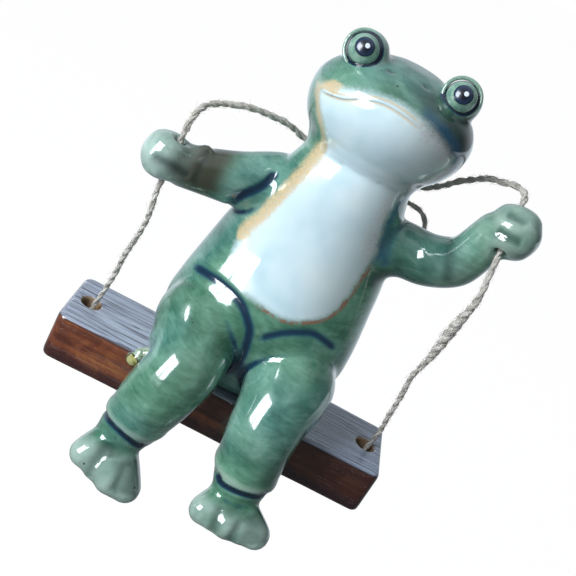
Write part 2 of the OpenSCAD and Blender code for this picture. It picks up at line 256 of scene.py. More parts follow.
def set_points(obj: Thing, points: Array) -> None:
    """Moves a mesh's points to places given in millimetres from the middle of the plank's top."""
    obj.data.vertices.foreach_set("co", ((points - np.array(HANG_PLACE)) * MM).ravel())
    obj.data.update()


def normals_of(obj: Thing) -> Array:
    """Gives the outward directions at a mesh's points."""
    flat = np.zeros(len(obj.data.vertices) * 3)
    obj.data.vertex_normals.foreach_get("vector", flat)
    return flat.reshape(-1, 3)


def keep_values(obj: Thing, name: str, values: Array) -> None:
    """Stores one number for each point of a mesh, for its glaze to read."""
    attribute = obj.data.attributes.new(name, "FLOAT", "POINT")
    attribute.data.foreach_set("value", values.astype(np.float32))


def relax(obj: Thing, values: Array, rounds: int) -> Array:
    """Evens out values over a mesh by averaging neighbours.

    Args:
        obj: the mesh.
        values: a row of numbers for each of its points.
        rounds: how many times to average.

    Returns:
        The evened rows.
    """
    ends = np.zeros(len(obj.data.edges) * 2, int)
    obj.data.edges.foreach_get("vertices", ends)
    one, other = ends.reshape(-1, 2).T
    count = np.bincount(ends, minlength=len(values))[:, None]
    for _ in range(rounds):
        sums = [
            np.bincount(one, column[other], len(values)) + np.bincount(other, column[one], len(values))
            for column in values.T
        ]
        values = values + 0.5 * (np.stack(sums, axis=1) / count - values)
    return values


def dress(obj: Thing, material: bpy.types.Material, body: str, slot: str, *nodes: str) -> None:
    """Smooths and glazes a finished piece, and ties it to the part.

    Args:
        obj: the piece.
        material: its finish.
        body: the body that it rides.
        slot: its material slot; not used.
        nodes: the CAD nodes that it replaces.
    """
    obj.data.polygons.foreach_set("use_smooth", [True] * len(obj.data.polygons))
    obj.data.materials.clear()
    obj.data.materials.append(material)
    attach(obj, body)
    if nodes:
        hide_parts(*nodes)
    log.info("%s: %d faces", obj.name, len(obj.data.polygons))


# Finishes


class Painter:
    """Paints one material, or the world, with nodes. All its patterns are sized in millimetres."""

    def __init__(self, owner: bpy.types.Material | bpy.types.World) -> None:
        """Empties the node tree of what it paints."""
        owner.use_nodes = True
        self.owner = owner
        self.tree = owner.node_tree
        self.tree.nodes.clear()

    @classmethod
    def of(cls, name: str) -> "Painter":
        """Starts an empty material whose name says what it is."""
        return cls(bpy.data.materials.new(name))

    def add(
        self, kind: str, inputs: dict[str | int, Feed] | None = None, **settings: object
    ) -> bpy.types.Node:
        """Adds one shader node, sets its options and fills or joins its sockets.

        Args:
            kind: the node's type.
            inputs: a number, colour or socket for each input, by its name or place.
            settings: the node's own options.

        Returns:
            The new node.
        """
        node = self.tree.nodes.new(kind)
        for name, value in settings.items():
            setattr(node, name, value)
        for name, value in (inputs or {}).items():
            if isinstance(value, bpy.types.NodeSocket):
                self.tree.links.new(value, node.inputs[name])
            else:
                node.inputs[name].default_value = value
        return node

    def places(self, scale: Row = (1.0, 1.0, 1.0), turn: Row = (0.0, 0.0, 0.0)) -> Socket:
        """Gives the place in millimetres, squeezed by a scale and turned by degrees for a pattern."""
        coordinates = self.add("ShaderNodeTexCoord")
        inputs = {
            "Vector": coordinates.outputs["Object"],
            "Location": tuple(s * h for s, h in zip(scale, HANG_PLACE)),
            "Rotation": tuple(math.radians(t) for t in turn),
            "Scale": tuple(s / MM for s in scale),
        }
        return self.add("ShaderNodeMapping", inputs).outputs[0]

    def axes(self, place: Socket) -> tuple[Socket, ...]:
        """Splits a place into its three numbers."""
        return tuple(self.add("ShaderNodeSeparateXYZ", {0: place}).outputs)

    def kept(self, name: str) -> Socket:
        """Gives a number that is stored at the mesh's points."""
        return self.add("ShaderNodeAttribute", attribute_name=name).outputs["Fac"]

    def calc(self, operation: str, *values: Feed) -> Socket:
        """Does one step of arithmetic."""
        return self.add("ShaderNodeMath", dict(enumerate(values)), operation=operation).outputs[0]

    def times(self, *values: Feed) -> Socket:
        """Multiplies numbers."""
        total = values[0]
        for value in values[1:]:
            total = self.calc("MULTIPLY", total, value)
        return total

    def plus(self, *values: Feed) -> Socket:
        """Adds numbers."""
        total = values[0]
        for value in values[1:]:
            total = self.calc("ADD", total, value)
        return total

    def gap(self, first: Feed, second: Feed) -> Socket:
        """Gives how far apart two numbers are."""
        return self.calc("ABSOLUTE", self.calc("SUBTRACT", first, second))

    def swing(self, value: Socket, reach: float) -> Socket:
        """Makes a number from 0 to 1 swing round zero."""
        return self.times(self.calc("SUBTRACT", value, 0.5), reach)

    def share(self, value: Socket, low: float, high: float, start: float = 0.0, end: float = 1.0) -> Socket:
        """Goes smoothly from start to end while the value goes from low to high."""
        inputs = {"Value": value, "From Min": low, "From Max": high, "To Min": start, "To Max": end}
        return self.add("ShaderNodeMapRange", inputs, interpolation_type="SMOOTHSTEP").outputs[0]

    def noise(
        self, place: Socket, size: float, detail: float = 3.0, rough: float = 0.5, warp: float = 0.0
    ) -> Socket:
        """Gives cloudy noise from 0 to 1.

        Args:
            place: the place in millimetres.
            size: the size of the clouds in millimetres.
            detail: how many finer layers it has.
            rough: how strong the finer layers are.
            warp: how much the clouds are twisted.

        Returns:
            The noise's socket.
        """
        inputs = {
            "Vector": place,
            "Scale": 1.0 / size,
            "Detail": detail,
            "Roughness": rough,
            "Distortion": warp,
        }
        return self.add("ShaderNodeTexNoise", inputs).outputs[0]

    def ramp(self, value: Socket, colours: tuple[str, ...], places: Row) -> Socket:
        """Turns a number from 0 to 1 into colours, each at its own place."""
        node = self.add("ShaderNodeValToRGB", {0: value})
        elements = node.color_ramp.elements
        while len(elements) < len(colours):
            elements.new(0.5)
        for element, place, colour in zip(elements, places, colours):
            element.position = place
            element.color = linear(colour)
        return node.outputs[0]

    def over(self, under: Feed | str, top: Feed | str, share: Feed, amount: float = 1.0) -> Socket:
        """Lays one colour over another.

        Args:
            under: the colour below, or its socket.
            top: the colour on top, or its socket.
            share: where the top colour is, from 0 to 1.
            amount: how well it covers there.

        Returns:
            The mixed colour's socket.
        """
        share = share if amount == 1.0 else self.times(share, amount)
        first, second = (linear(c) if isinstance(c, str) else c for c in (under, top))
        return self.add("ShaderNodeMix", {0: share, 6: first, 7: second}, data_type="RGBA").outputs[2]

    def dots(self, place: Socket, spacing: float, size: float, kept_share: float) -> Socket:
        """Gives scattered round specks, 1 in a speck and 0 elsewhere.

        Args:
            place: the place in millimetres.
            spacing: the cell of each possible speck in millimetres.
            size: a speck's radius in millimetres.
            kept_share: the share of the cells that have a speck.

        Returns:
            The specks' socket.
        """
        cells = self.add("ShaderNodeTexVoronoi", {"Vector": place, "Scale": 1.0 / spacing})
        near = self.calc("LESS_THAN", cells.outputs["Distance"], size / spacing)
        chance = self.add("ShaderNodeSeparateColor", {0: cells.outputs["Color"]}).outputs[0]
        return self.times(near, self.calc("LESS_THAN", chance, kept_share))

    def bump(self, height: Socket, depth: float, under: Socket | None = None) -> Socket:
        """Tilts the surface with a height pattern, whose 1 is depth millimetres, over another normal."""
        inputs = {"Height": height, "Distance": depth * MM, "Strength": 1.0}
        if under is not None:
            inputs["Normal"] = under
        return self.add("ShaderNodeBump", inputs).outputs[0]

    def finish(self, colour: Feed, rough: Feed, **sockets: Feed) -> bpy.types.Material:
        """Ends the material in one principled surface.

        Args:
            colour: the base colour.
            rough: the roughness.
            sockets: more of the surface's inputs, with _ for a space.

        Returns:
            The finished material.
        """
        inputs = {"Base Color": colour, "Roughness": rough}
        inputs.update({name.replace("_", " "): value for name, value in sockets.items()})
        surface = self.add("ShaderNodeBsdfPrincipled", inputs)
        self.add("ShaderNodeOutputMaterial", {"Surface": surface.outputs[0]})
        return self.owner


# Made by glazing stoneware: the glaze pools dark in grooves and thins pale on ridges, over a white belly
@dataclass(frozen=True)
class CeladonGlaze:
    """Celadon-glazed stoneware, which reads where each effect shows from numbers kept on the skin."""

    greens: tuple[str, ...] = ("#2f5745", "#4a7c62", "#6a9c82", "#93bda6")
    teals: tuple[str, ...] = ("#33605a", "#4f857a", "#76a698", "#9fc5ba")
    tone_places: Row = (0.28, 0.43, 0.58, 0.73)
    pooled: tuple[str, ...] = ("#2c6272", "#1a3f57", "#0c1c30")
    thin: str = "#bacdc0"
    bare_hands: str = "#85a294"
    thin_hands: str = "#b9d1c5"
    wrist: str = "#4a4738"
    belly: tuple[str, ...] = ("#c8e5ee", "#dff5fb", "#ecfcfe")
    shaded_belly: str = "#a9b4b0"
    blush: str = "#b9a8a6"
    ochre: str = "#e2c79a"
    rust: str = "#8f6048"
    border_blue: str = "#205370"
    # Dark green of thick glaze, also used for painted shade
    dark: str = "#142a28"
    speck: str = "#1c2624"
    # Where the ochre stripe and the lines beside the mouth run, and how wide they are, in millimetres
    stripe_in: float = 0.4
    stripe_width: float = 3.0
    mouth_line_out: float = 0.8
    mouth_line_width: float = 0.5

    def green(self, paint: Painter, place: Socket) -> Socket:
        """Paints the green glaze, which drifts between green and teal and shows the brush softly."""
        cloud = paint.noise(place, 12.0, 4.0, 0.55, 0.4)
        stroke = paint.noise(paint.places((0.10, 0.10, 0.38), (0.0, 14.0, 8.0)), 1.0, 4.0, 0.6, 1.4)
        tone = paint.plus(paint.times(cloud, 0.68), paint.times(stroke, 0.32))
        green, teal = (paint.ramp(tone, colours, self.tone_places) for colours in (self.greens, self.teals))
        return paint.over(green, teal, paint.share(paint.noise(place, 38.0, 2.0, 0.5), 0.42, 0.70))

    def white(self, paint: Painter, place: Socket, edge: Socket) -> Socket:
        """Paints the white throat and belly, greyed towards the right as painted shade and blushed inside the
        right cheek.
        """
        cloud = paint.noise(place, 18.0, 2.0, 0.5)
        milk = paint.ramp(cloud, self.belly, (0.3, 0.5, 0.7))
        # Painted shade: the white greys towards the right
        milk = paint.over(milk, self.shaded_belly, paint.kept("shade"), 0.85)
        grain = paint.share(paint.noise(place, 1.1, 4.0, 0.7), 0.35, 0.65)
        inside = paint.times(paint.share(edge, 9.0, 0.5), paint.kept("cool"), grain)
        return paint.over(milk, self.blush, inside, 0.6)

    def border(self, paint: Painter, place: Socket, cloud: Socket, colour: Socket) -> Socket:
        """Paints the white front and its speckled border over the green.

        Args:
            paint: the material's painter.
            place: the place in millimetres.
            cloud: the noise that makes the border uneven.
            colour: the colour so far.

        Returns:
            The colour with the front and its border.
        """
        fine = paint.swing(paint.noise(place, 0.9, 4.0, 0.7), 2.0)
        edge = paint.plus(paint.kept("belly_mm"), paint.swing(cloud, 3.0), fine)
        # Dark green glaze in the grooves, and painted shade on the right side of the face, the right arm, the
        # right fist and the feet
        colour = paint.over(colour, self.dark, paint.kept("deep"))
        outside = paint.share(paint.gap(edge, -1.0), 2.8, 0.2)
        colour = paint.over(colour, self.border_blue, paint.times(outside, paint.kept("cool")), 0.8)
        colour = paint.over(colour, self.white(paint, place, edge), paint.share(edge, -1.0, 2.6))
        # Ochre at the left, and rust brushed along the bottom
        crumbs = paint.share(paint.noise(place, 0.8, 3.0, 0.7), 0.38, 0.6)
        narrow = paint.times(paint.calc("SUBTRACT", 1.0, paint.kept("warm")), self.stripe_width)
        stripe = paint.share(paint.plus(paint.gap(edge, self.stripe_in), narrow), self.stripe_width, 0.9)
        worn = paint.plus(paint.times(crumbs, 0.3), 0.65)
        colour = paint.over(colour, self.ochre, paint.times(stripe, worn))
        line = paint.share(paint.calc("ABSOLUTE", edge), 1.1, 0.2)
        brushed = paint.share(paint.noise(place, 3.2, 4.0, 0.7), 0.34, 0.52)
        return paint.over(colour, self.rust, paint.times(line, paint.kept("rust"), brushed), 0.85)

    def make(self) -> bpy.types.Material:
        """Paints the glaze and gives the material."""
        paint = Painter.of("celadon-glazed stoneware")
        place = paint.places()
        cloud = paint.noise(place, 11.0, 4.0, 0.55, 0.4)
        colour = self.green(paint, place)
        # Thin glaze on ridges, pale hands and feet, brown wrist; the left fist is painted paler than the
        # right, partly as painted light
        colour = paint.over(colour, self.thin, paint.kept("ridge"), 0.55)
        hand_tone = paint.over(self.bare_hands, self.thin_hands, paint.share(cloud, 0.32, 0.58))
        colour = paint.over(colour, hand_tone, paint.kept("pale"), 0.8)
        colour = paint.over(colour, self.wrist, paint.kept("wrist"), 0.95)
        colour = self.border(paint, place, cloud, colour)
        # Two thin ochre lines beside the raised mouth line
        mouth = paint.calc("ABSOLUTE", paint.kept("mouth_mm"))
        width = paint.kept("mouth")
        beside = paint.share(paint.gap(mouth, self.mouth_line_out), self.mouth_line_width, 0.1)
        colour = paint.over(colour, self.ochre, paint.times(beside, width), 0.7)
        # Pooled glaze in the grooves, and specks
        pool = paint.kept("pool")
        dark = paint.ramp(pool, self.pooled, (0.2, 0.5, 0.9))
        colour = paint.over(colour, dark, paint.share(pool, 0.1, 0.6))
        colour = paint.over(colour, self.speck, paint.share(paint.kept("speck_mm"), 0.62, 0.4))
        colour = paint.over(colour, self.speck, paint.dots(place, 11.0, 0.28, 0.2))
        ripple = paint.bump(paint.noise(place, 7.0, 1.0, 0.4), 0.25)
        normal = paint.bump(paint.times(paint.share(mouth, 0.7, 0.1), width), 0.3, ripple)
        rough = paint.add("ShaderNodeMapRange", {"Value": cloud, "To Min": 0.12, "To Max": 0.26}).outputs[0]
        return paint.finish(
            colour, rough, Normal=normal, IOR=1.5, Coat_Weight=1.0, Coat_Roughness=0.025, Coat_IOR=1.6
        )


# Made by painting a clay ball with glaze colours and firing it under clear glaze
@dataclass(frozen=True)
class EyeGlaze:
    """Glazed clay eyeball: a pale green ball with a painted blue-black pupil and a white dot."""

    ball: str = "#94b8a4"
    mottled_ball: str = "#6f9a8a"
    ring: str = "#1d3b44"
    pupil: str = "#0a1020"
    rim: str = "#243a5c"
    dot: str = "#f4fbff"
    pupil_r: float = 3.0
    dot_r: float = 0.8
    ring_r: float = 4.75
    # Half the soft edge of the pupil and of the dot
    soft: float = 0.12
    dot_soft: float = 0.1

    def make(self) -> bpy.types.Material:
        """Paints the eye and gives the material."""
        paint = Painter.of("glazed clay eye with painted pupil")
        out = paint.plus(paint.kept("gaze_mm"), paint.swing(paint.noise(paint.places(), 1.5), 0.3))
        mottle = paint.noise(paint.places(), 2.5, 4.0, 0.6)
        ball = paint.over(self.ball, self.mottled_ball, paint.share(mottle, 0.4, 0.65))
        colour = paint.over(ball, self.ring, paint.share(out, self.ring_r, self.ring_r + 0.35))
        r = self.pupil_r
        navy = paint.over(self.pupil, self.rim, paint.share(out, r * 0.35, r * 0.95))
        navy = paint.over(navy, self.pupil, paint.share(out, r * 0.8, r))
        colour = paint.over(colour, navy, paint.share(out, r + self.soft, r - self.soft))
        spot = paint.share(paint.kept("dot_mm"), self.dot_r + self.dot_soft, self.dot_r - self.dot_soft)
        colour = paint.over(colour, self.dot, spot)
        normal = paint.bump(mottle, 0.03)
        return paint.finish(colour, 0.32, Normal=normal, Coat_Weight=1.0, Coat_Roughness=0.16, Coat_IOR=1.5)


# Made by cutting grain into a clay block and glazing it brown, so that the glaze breaks orange on the edges
@dataclass(frozen=True)
class PlankGlaze:
    """Wood-look glazed ceramic: brown glaze over incised grain, with a painted reflection on its top and
    painted shade towards its right end, along its bottom and inside its holes.
    """

    size: Row
    hole_r: float
    browns: tuple[str, ...] = ("#341812", "#613020", "#86482c", "#b0703a")
    # Grey-lavender of the top: a painted reflection of the pale room on the glossy glaze
    top: tuple[str, ...] = ("#9093ac", "#c0c9e0", "#dde6f7")
    # Darker top at the right end: painted shade over the painted reflection
    shaded_top_right: str = "#76869f"
    orange: str = "#c8853f"
    line: str = "#241a1c"
    # Painted shade along the bottom of the front
    bottom_shade: str = "#2b1a22"
    rim: str = "#b59a7c"

    def grain(self, paint: Painter, upward: Socket) -> Socket:
        """Gives thin dark cuts and hair lines along the plank, strongest on its top."""
        cuts = paint.noise(paint.places((0.012, 0.95, 0.95)), 1.0, 2.0, 0.55, 0.15)
        fine = paint.noise(paint.places((0.03, 2.6, 2.6)), 1.0, 2.0, 0.5, 0.1)
        cut = paint.share(paint.gap(cuts, 0.5), 0.035, 0.008)
        hair = paint.times(paint.share(fine, 0.44, 0.36), 0.35)
        return paint.times(paint.calc("MAXIMUM", cut, hair), paint.plus(paint.times(upward, 0.7), 0.3))

    def edge(self, paint: Painter, axes: tuple[Socket, ...], mottle: Socket) -> Socket:
        """Gives how far inside the nearest edge of the block a point is, unevenly."""
        x, y, z = axes
        off_middle = (x, y, paint.plus(z, self.size[2] / 2))
        gaps = [
            paint.calc("SUBTRACT", length / 2, paint.calc("ABSOLUTE", off))
            for length, off in zip(self.size, off_middle)
        ]
        low = paint.calc("MINIMUM", gaps[0], gaps[1])
        high = paint.calc("MAXIMUM", gaps[0], gaps[1])
        return paint.plus(paint.calc("MAXIMUM", low, paint.calc("MINIMUM", high, gaps[2])), mottle)

    def make(self) -> bpy.types.Material:
        """Paints the plank and gives the material."""
        paint = Painter.of("brown glaze over incised wood grain")
        place = paint.places()
        x, y, z = paint.axes(place)
        streak = paint.noise(paint.places((0.02, 0.5, 0.5)), 1.0, 5.0, 0.6, 0.3)
        mottle = paint.noise(place, 9.0, 5.0, 0.6, 0.5)
        tone = paint.plus(paint.times(streak, 0.45), paint.times(mottle, 0.55))
        brown = paint.ramp(tone, self.browns, (0.30, 0.42, 0.54, 0.68))
        # The top is painted grey-lavender, as a painted reflection of the pale room
        grey = paint.ramp(streak, self.top, (0.3, 0.5, 0.7))
        # Painted shade: the front darkens towards the right end, and the top's painted reflection dims there
        painted_shade_rightward = paint.share(x, -15.0, 40.0)
        grey = paint.over(grey, self.shaded_top_right, painted_shade_rightward, 0.5)
        brown = paint.over(brown, self.browns[0], painted_shade_rightward, 0.78)
        upward = paint.share(z, -1.2, -0.3)
        colour = paint.over(brown, grey, upward)
        # Painted shade darkens the bottom of the front
        under = paint.share(paint.plus(z, paint.times(mottle, 5.0)), -9.5, -13.0)
        colour = paint.over(colour, self.bottom_shade, under, 0.75)
        edge = self.edge(paint, (x, y, z), mottle)
        broken = paint.times(paint.share(edge, 1.3, 0.5), paint.share(z, -1.6, -3.0))
        colour = paint.over(colour, self.orange, broken, 0.7)
        top_line = paint.share(paint.gap(z, -1.0), 0.6, 0.15)
        colour = paint.over(colour, self.line, top_line, 0.6)
        grain = self.grain(paint, upward)
        colour = paint.over(colour, self.line, grain, 0.8)
        # Pale clay shows round the rope holes
        across = paint.calc("SUBTRACT", paint.calc("ABSOLUTE", x), HOLE_OUT)
        away = paint.calc("SQRT", paint.plus(paint.times(across, across), paint.times(y, y)))
        rim = paint.share(paint.gap(away, self.hole_r + 0.15), 0.5, 0.15)
        colour = paint.over(colour, self.rim, rim, 0.8)
        # Painted shade inside the rope holes, in the darkest brown
        bore = paint.share(away, self.hole_r + 0.05, self.hole_r - 0.2)
        colour = paint.over(colour, self.browns[0], bore)
        height = paint.calc("SUBTRACT", paint.times(streak, 0.5), grain)
        normal = paint.bump(height, 0.18, paint.bump(mottle, 0.35))
        return paint.finish(
            colour, 0.28, Normal=normal, IOR=1.5, Coat_Weight=1.0, Coat_Roughness=0.07, Coat_IOR=1.55
        )


# Made by glaze that ran down and set: whitish green where it is thick, olive with a dark ring in its drop
@dataclass(frozen=True)
class PoolGlaze:
    """Glass-like pooled glaze."""

    milky: str = "#b9cdb4"
    thin_milky: str = "#7f9478"
    olive: str = "#a3a043"
    pale_olive: str = "#c9c489"
    ring: str = "#3c3416"
    ring_r: float = 2.4
    soft: float = 0.5

    def make(self) -> bpy.types.Material:
        """Paints the pooled glaze and gives the material."""
        paint = Painter.of("pooled glaze")
        disc = paint.kept("disc_mm")
        mottle = paint.noise(paint.places(), 1.6, 4.0, 0.6)
        colour = paint.over(self.milky, self.thin_milky, paint.share(mottle, 0.35, 0.65))
        olive = paint.over(self.olive, self.pale_olive, paint.share(mottle, 0.4, 0.6))
        colour = paint.over(colour, self.ring, paint.share(disc, self.ring_r + self.soft, self.ring_r))
        colour = paint.over(colour, olive, paint.share(disc, self.ring_r, self.ring_r - self.soft))
        normal = paint.bump(mottle, 0.12)
        return paint.finish(colour, 0.12, Normal=normal, Coat_Weight=1.0, Coat_Roughness=0.03, Coat_IOR=1.6)


# Made by twisting dry jute: dull grey-brown fibres that run along each ply
@dataclass(frozen=True)
class JuteTwine:
    """Two-ply jute twine."""

    fibres: tuple[str, ...] = ("#928b81", "#bab3a9", "#d8d2c9", "#f0ece6")

    def make(self) -> bpy.types.Material:
        """Paints the twine and gives the material."""
        paint = Painter.of("two-ply jute twine")
        along = paint.add("ShaderNodeUVMap", uv_map="lay").outputs[0]
        stretched = paint.add("ShaderNodeMapping", {"Vector": along, "Scale": (0.35, 7.0, 1.0)}).outputs[0]
        strand = paint.noise(stretched, 1.0, 4.0, 0.65, 0.2)
        patch = paint.noise(paint.places(), 4.0, 2.0, 0.5)
        tone = paint.plus(paint.times(strand, 0.7), paint.times(patch, 0.3))
        colour = paint.ramp(tone, self.fibres, (0.32, 0.44, 0.56, 0.68))
        return paint.finish(colour, 0.85, Normal=paint.bump(strand, 0.25), Sheen_Weight=0.15)


# Made by bedding the frog on wet celadon slip before firing
@dataclass(frozen=True)
class FiredSlip:
    """Thin bed of celadon slip between the frog and the plank."""

    tones: tuple[str, ...] = ("#4b6f62", "#8fae9a")

    def make(self) -> bpy.types.Material:
        """Paints the slip and gives the material."""
        paint = Painter.of("fired slip")
        cloud = paint.noise(paint.places(), 3.0, 3.0, 0.6)
        colour = paint.ramp(cloud, self.tones, (0.35, 0.65))
        return paint.finish(colour, 0.3, Normal=paint.bump(cloud, 0.1), Coat_Weight=0.6, Coat_Roughness=0.1)


# Studio


class Seen(Enum):
    """Which rays a lamp is there for."""

    LIGHT = "light that falls on the part"
    MIRROR = "what its glaze mirrors"


@dataclass
class Lamp:
    """One soft oblong lamp: its way from the part's middle in degrees, and its distance and size in metres.

    Its level is its brightness, where 1 is white paper in the light.
    """

    name: str
    azimuth: float
    elevation: float
    distance: float
    size: tuple[float, float]
    level: float
    seen: Seen

    def hang(self, middle: Row) -> None:
        """Hangs the lamp round the part's middle and turns it there."""
        data = bpy.data.lights.new(self.name, "AREA")
        data.shape = "RECTANGLE"
        data.size, data.size_y = self.size
        data.energy = self.level * math.pi * self.size[0] * self.size[1]
        data.color = linear("#f2f9ff")[:3]
        lamp = bpy.data.objects.new(self.name, data)
        bpy.context.scene.collection.objects.link(lamp)
        a, e = math.radians(self.azimuth), math.radians(self.elevation)
        way = Vector((math.sin(a) * math.cos(e), -math.cos(a) * math.cos(e), math.sin(e)))
        lamp.location = at(*middle) + way * self.distance
        lamp.rotation_mode = "QUATERNION"
        lamp.rotation_quaternion = way.to_track_quat("Z", "Y")
        lamp.visible_camera = False
        lamp.visible_glossy = self.seen is Seen.MIRROR
        lamp.visible_diffuse = self.seen is Seen.LIGHT


@dataclass
class Studio:
    """Camera, lamps, floor and surroundings."""

    # Camera at the photograph's place, in millimetres from the middle of the plank's top
    place: Row = (-23.8191, -316.9984, 190.639)
    right: Row = (0.8823, 0.1367, 0.4504)
    up: Row = (-0.4645, 0.4070, 0.7865)
    forward: Row = (0.0758, 0.9031, -0.4226)
    lens: float = 61.8
    sensor: float = 36.0
    middle: Row = (2.0, -5.0, 55.0)
    floor_down: float = 260.0
    # Brightness of the room as light, and of what the glaze mirrors in front, behind, below and above
    ambient: float = 0.28
    dim_mirror: float = 0.10
    bright_mirror: float = 0.6
    paper_mirror: float = 1.0
    ceiling_mirror: float = 0.55
    sky: str = "#e6f2fb"
    room: str = "#eaf3fc"
    white: Row = (1.0, 1.0, 1.0, 1.0)
    # The window of four panes: degrees and the size of a pane in metres
    window_azimuth: float = -45.0
    window_elevation: float = 20.0
    window_step: float = 8.8
    pane: tuple[float, float] = (0.165, 0.200)

    def camera(self) -> None:
        """Sets up the camera."""
        data = bpy.data.cameras.new("photo camera")
        data.lens = self.lens
        data.sensor_width = self.sensor
        data.clip_start = 0.01
        data.clip_end = 50.0
        camera = bpy.data.objects.new("photo_camera", data)
        bpy.context.scene.collection.objects.link(camera)
        columns = (Vector(self.right), Vector(self.up), -Vector(self.forward))
        turn = Matrix(columns).transposed().to_4x4()
        camera.matrix_world = Matrix.Translation(at(*self.place)) @ turn
        bpy.context.scene.camera = camera

    def lamps(self) -> None:
        """Hangs a soft key lamp, and a window of four panes that the glaze mirrors."""
        for i, side in enumerate((LEFT, RIGHT)):
            for j, rise in enumerate((-1, 1)):
                azimuth = self.window_azimuth + side * self.window_step
                elevation = self.window_elevation + rise * self.window_step
                pane = Lamp(f"pane_{i}{j}", azimuth, elevation, 0.62, self.pane, 14.0, Seen.MIRROR)
                pane.hang(self.middle)
        Lamp("soft_key", -50.0, 28.0, 0.9, (0.5, 0.5), 11.5, Seen.LIGHT).hang(self.middle)

    def floor(self) -> None:
        """Lays the plain pale floor, which the camera and the glaze see as white behind the part."""
        deselect()
        middle = at(0.0, 0.0, -self.floor_down)
        bpy.ops.mesh.primitive_grid_add(x_subdivisions=8, y_subdivisions=8, size=12.0, location=middle)
        floor = join([bpy.context.object], "studio_floor")
        paint = Painter.of("plain pale floor")
        rays = paint.add("ShaderNodeLightPath").outputs
        back = paint.axes(paint.add("ShaderNodeTexCoord").outputs["Object"])[1]
        mirrored = paint.share(back, -0.1, 0.9, self.dim_mirror, self.paper_mirror)
        paper = paint.add("ShaderNodeBsdfDiffuse", {"Color": (0.62, 0.62, 0.62, 1.0)}).outputs[0]
        glow = paint.add("ShaderNodeEmission", {"Color": self.white, "Strength": 1.08}).outputs[0]
        sheen = paint.add("ShaderNodeEmission", {"Color": linear(self.sky), "Strength": mirrored}).outputs[0]
        seen = paint.times(rays["Is Camera Ray"], 0.9)
        lit = paint.add("ShaderNodeMixShader", {0: seen, 1: paper, 2: glow}).outputs[0]
        glossy = paint.calc("MAXIMUM", rays["Is Glossy Ray"], rays["Is Transmission Ray"])
        mix = paint.add("ShaderNodeMixShader", {0: glossy, 1: lit, 2: sheen}).outputs[0]
        paint.add("ShaderNodeOutputMaterial", {"Surface": mix})
        floor.data.materials.append(paint.owner)

    def surroundings(self) -> None:
        """Sets a pale room: white to the camera, mirrored white behind the part and dim in front of it."""
        paint = Painter(bpy.data.worlds.new("pale room"))
        rays = paint.add("ShaderNodeLightPath").outputs
        _, back, rise = paint.axes(paint.add("ShaderNodeTexCoord").outputs["Generated"])
        behind = paint.share(back, 0.3, 0.95, self.dim_mirror, self.bright_mirror)
        ceiling = paint.share(rise, 0.55, 0.95, self.dim_mirror, self.ceiling_mirror)
        level = paint.calc("MAXIMUM", behind, ceiling)
        looks = ((linear(self.room), self.ambient), (linear(self.sky), level), (self.white, 1.0))
        room, mirrored, white = (
            paint.add("ShaderNodeBackground", {"Color": colour, "Strength": strength}).outputs[0]
            for colour, strength in looks
        )
        inputs = {0: rays["Is Glossy Ray"], 1: room, 2: mirrored}
        glossy = paint.add("ShaderNodeMixShader", inputs).outputs[0]
        seen = paint.calc("MAXIMUM", rays["Is Camera Ray"], rays["Is Transmission Ray"])
        mix = paint.add("ShaderNodeMixShader", {0: seen, 1: glossy, 2: white}).outputs[0]
        paint.add("ShaderNodeOutputWorld", {"Surface": mix})
        bpy.context.scene.world = paint.owner

    def build(self) -> None:
        """Sets up the whole studio."""
        bpy.context.scene.view_settings.view_transform = "Standard"
        self.camera()
        self.floor()
        self.surroundings()
        self.lamps()
        log.info("studio: camera, a soft lamp, a window of 4 panes, floor and pale room")


# Twine


@dataclass
class Strand:
    """One free stretch of twine, which may have a slub: a part that is spun thicker."""

    name: str
    node: str
    route: Route
    body: str = "ornament"
    # Where the slub starts and ends, as shares of the length, and how thick it is
    slub: Row | None = None
    thick: float = 1.0
    fuzz_per_mm: float = 4.5

    def swell(self, count: int) -> Array:
        """Gives how thick the twine is at each of its points, as a share of its usual thickness."""
        swell = np.full(count, self.thick)
        if self.slub is not None:
            low, high, most = self.slub
            off = (np.linspace(0, 1, count) - (low + high) / 2) / ((high - low) / 2)
            swell += (most - 1) * np.exp(-(off**2) * 1.6)
        return swell


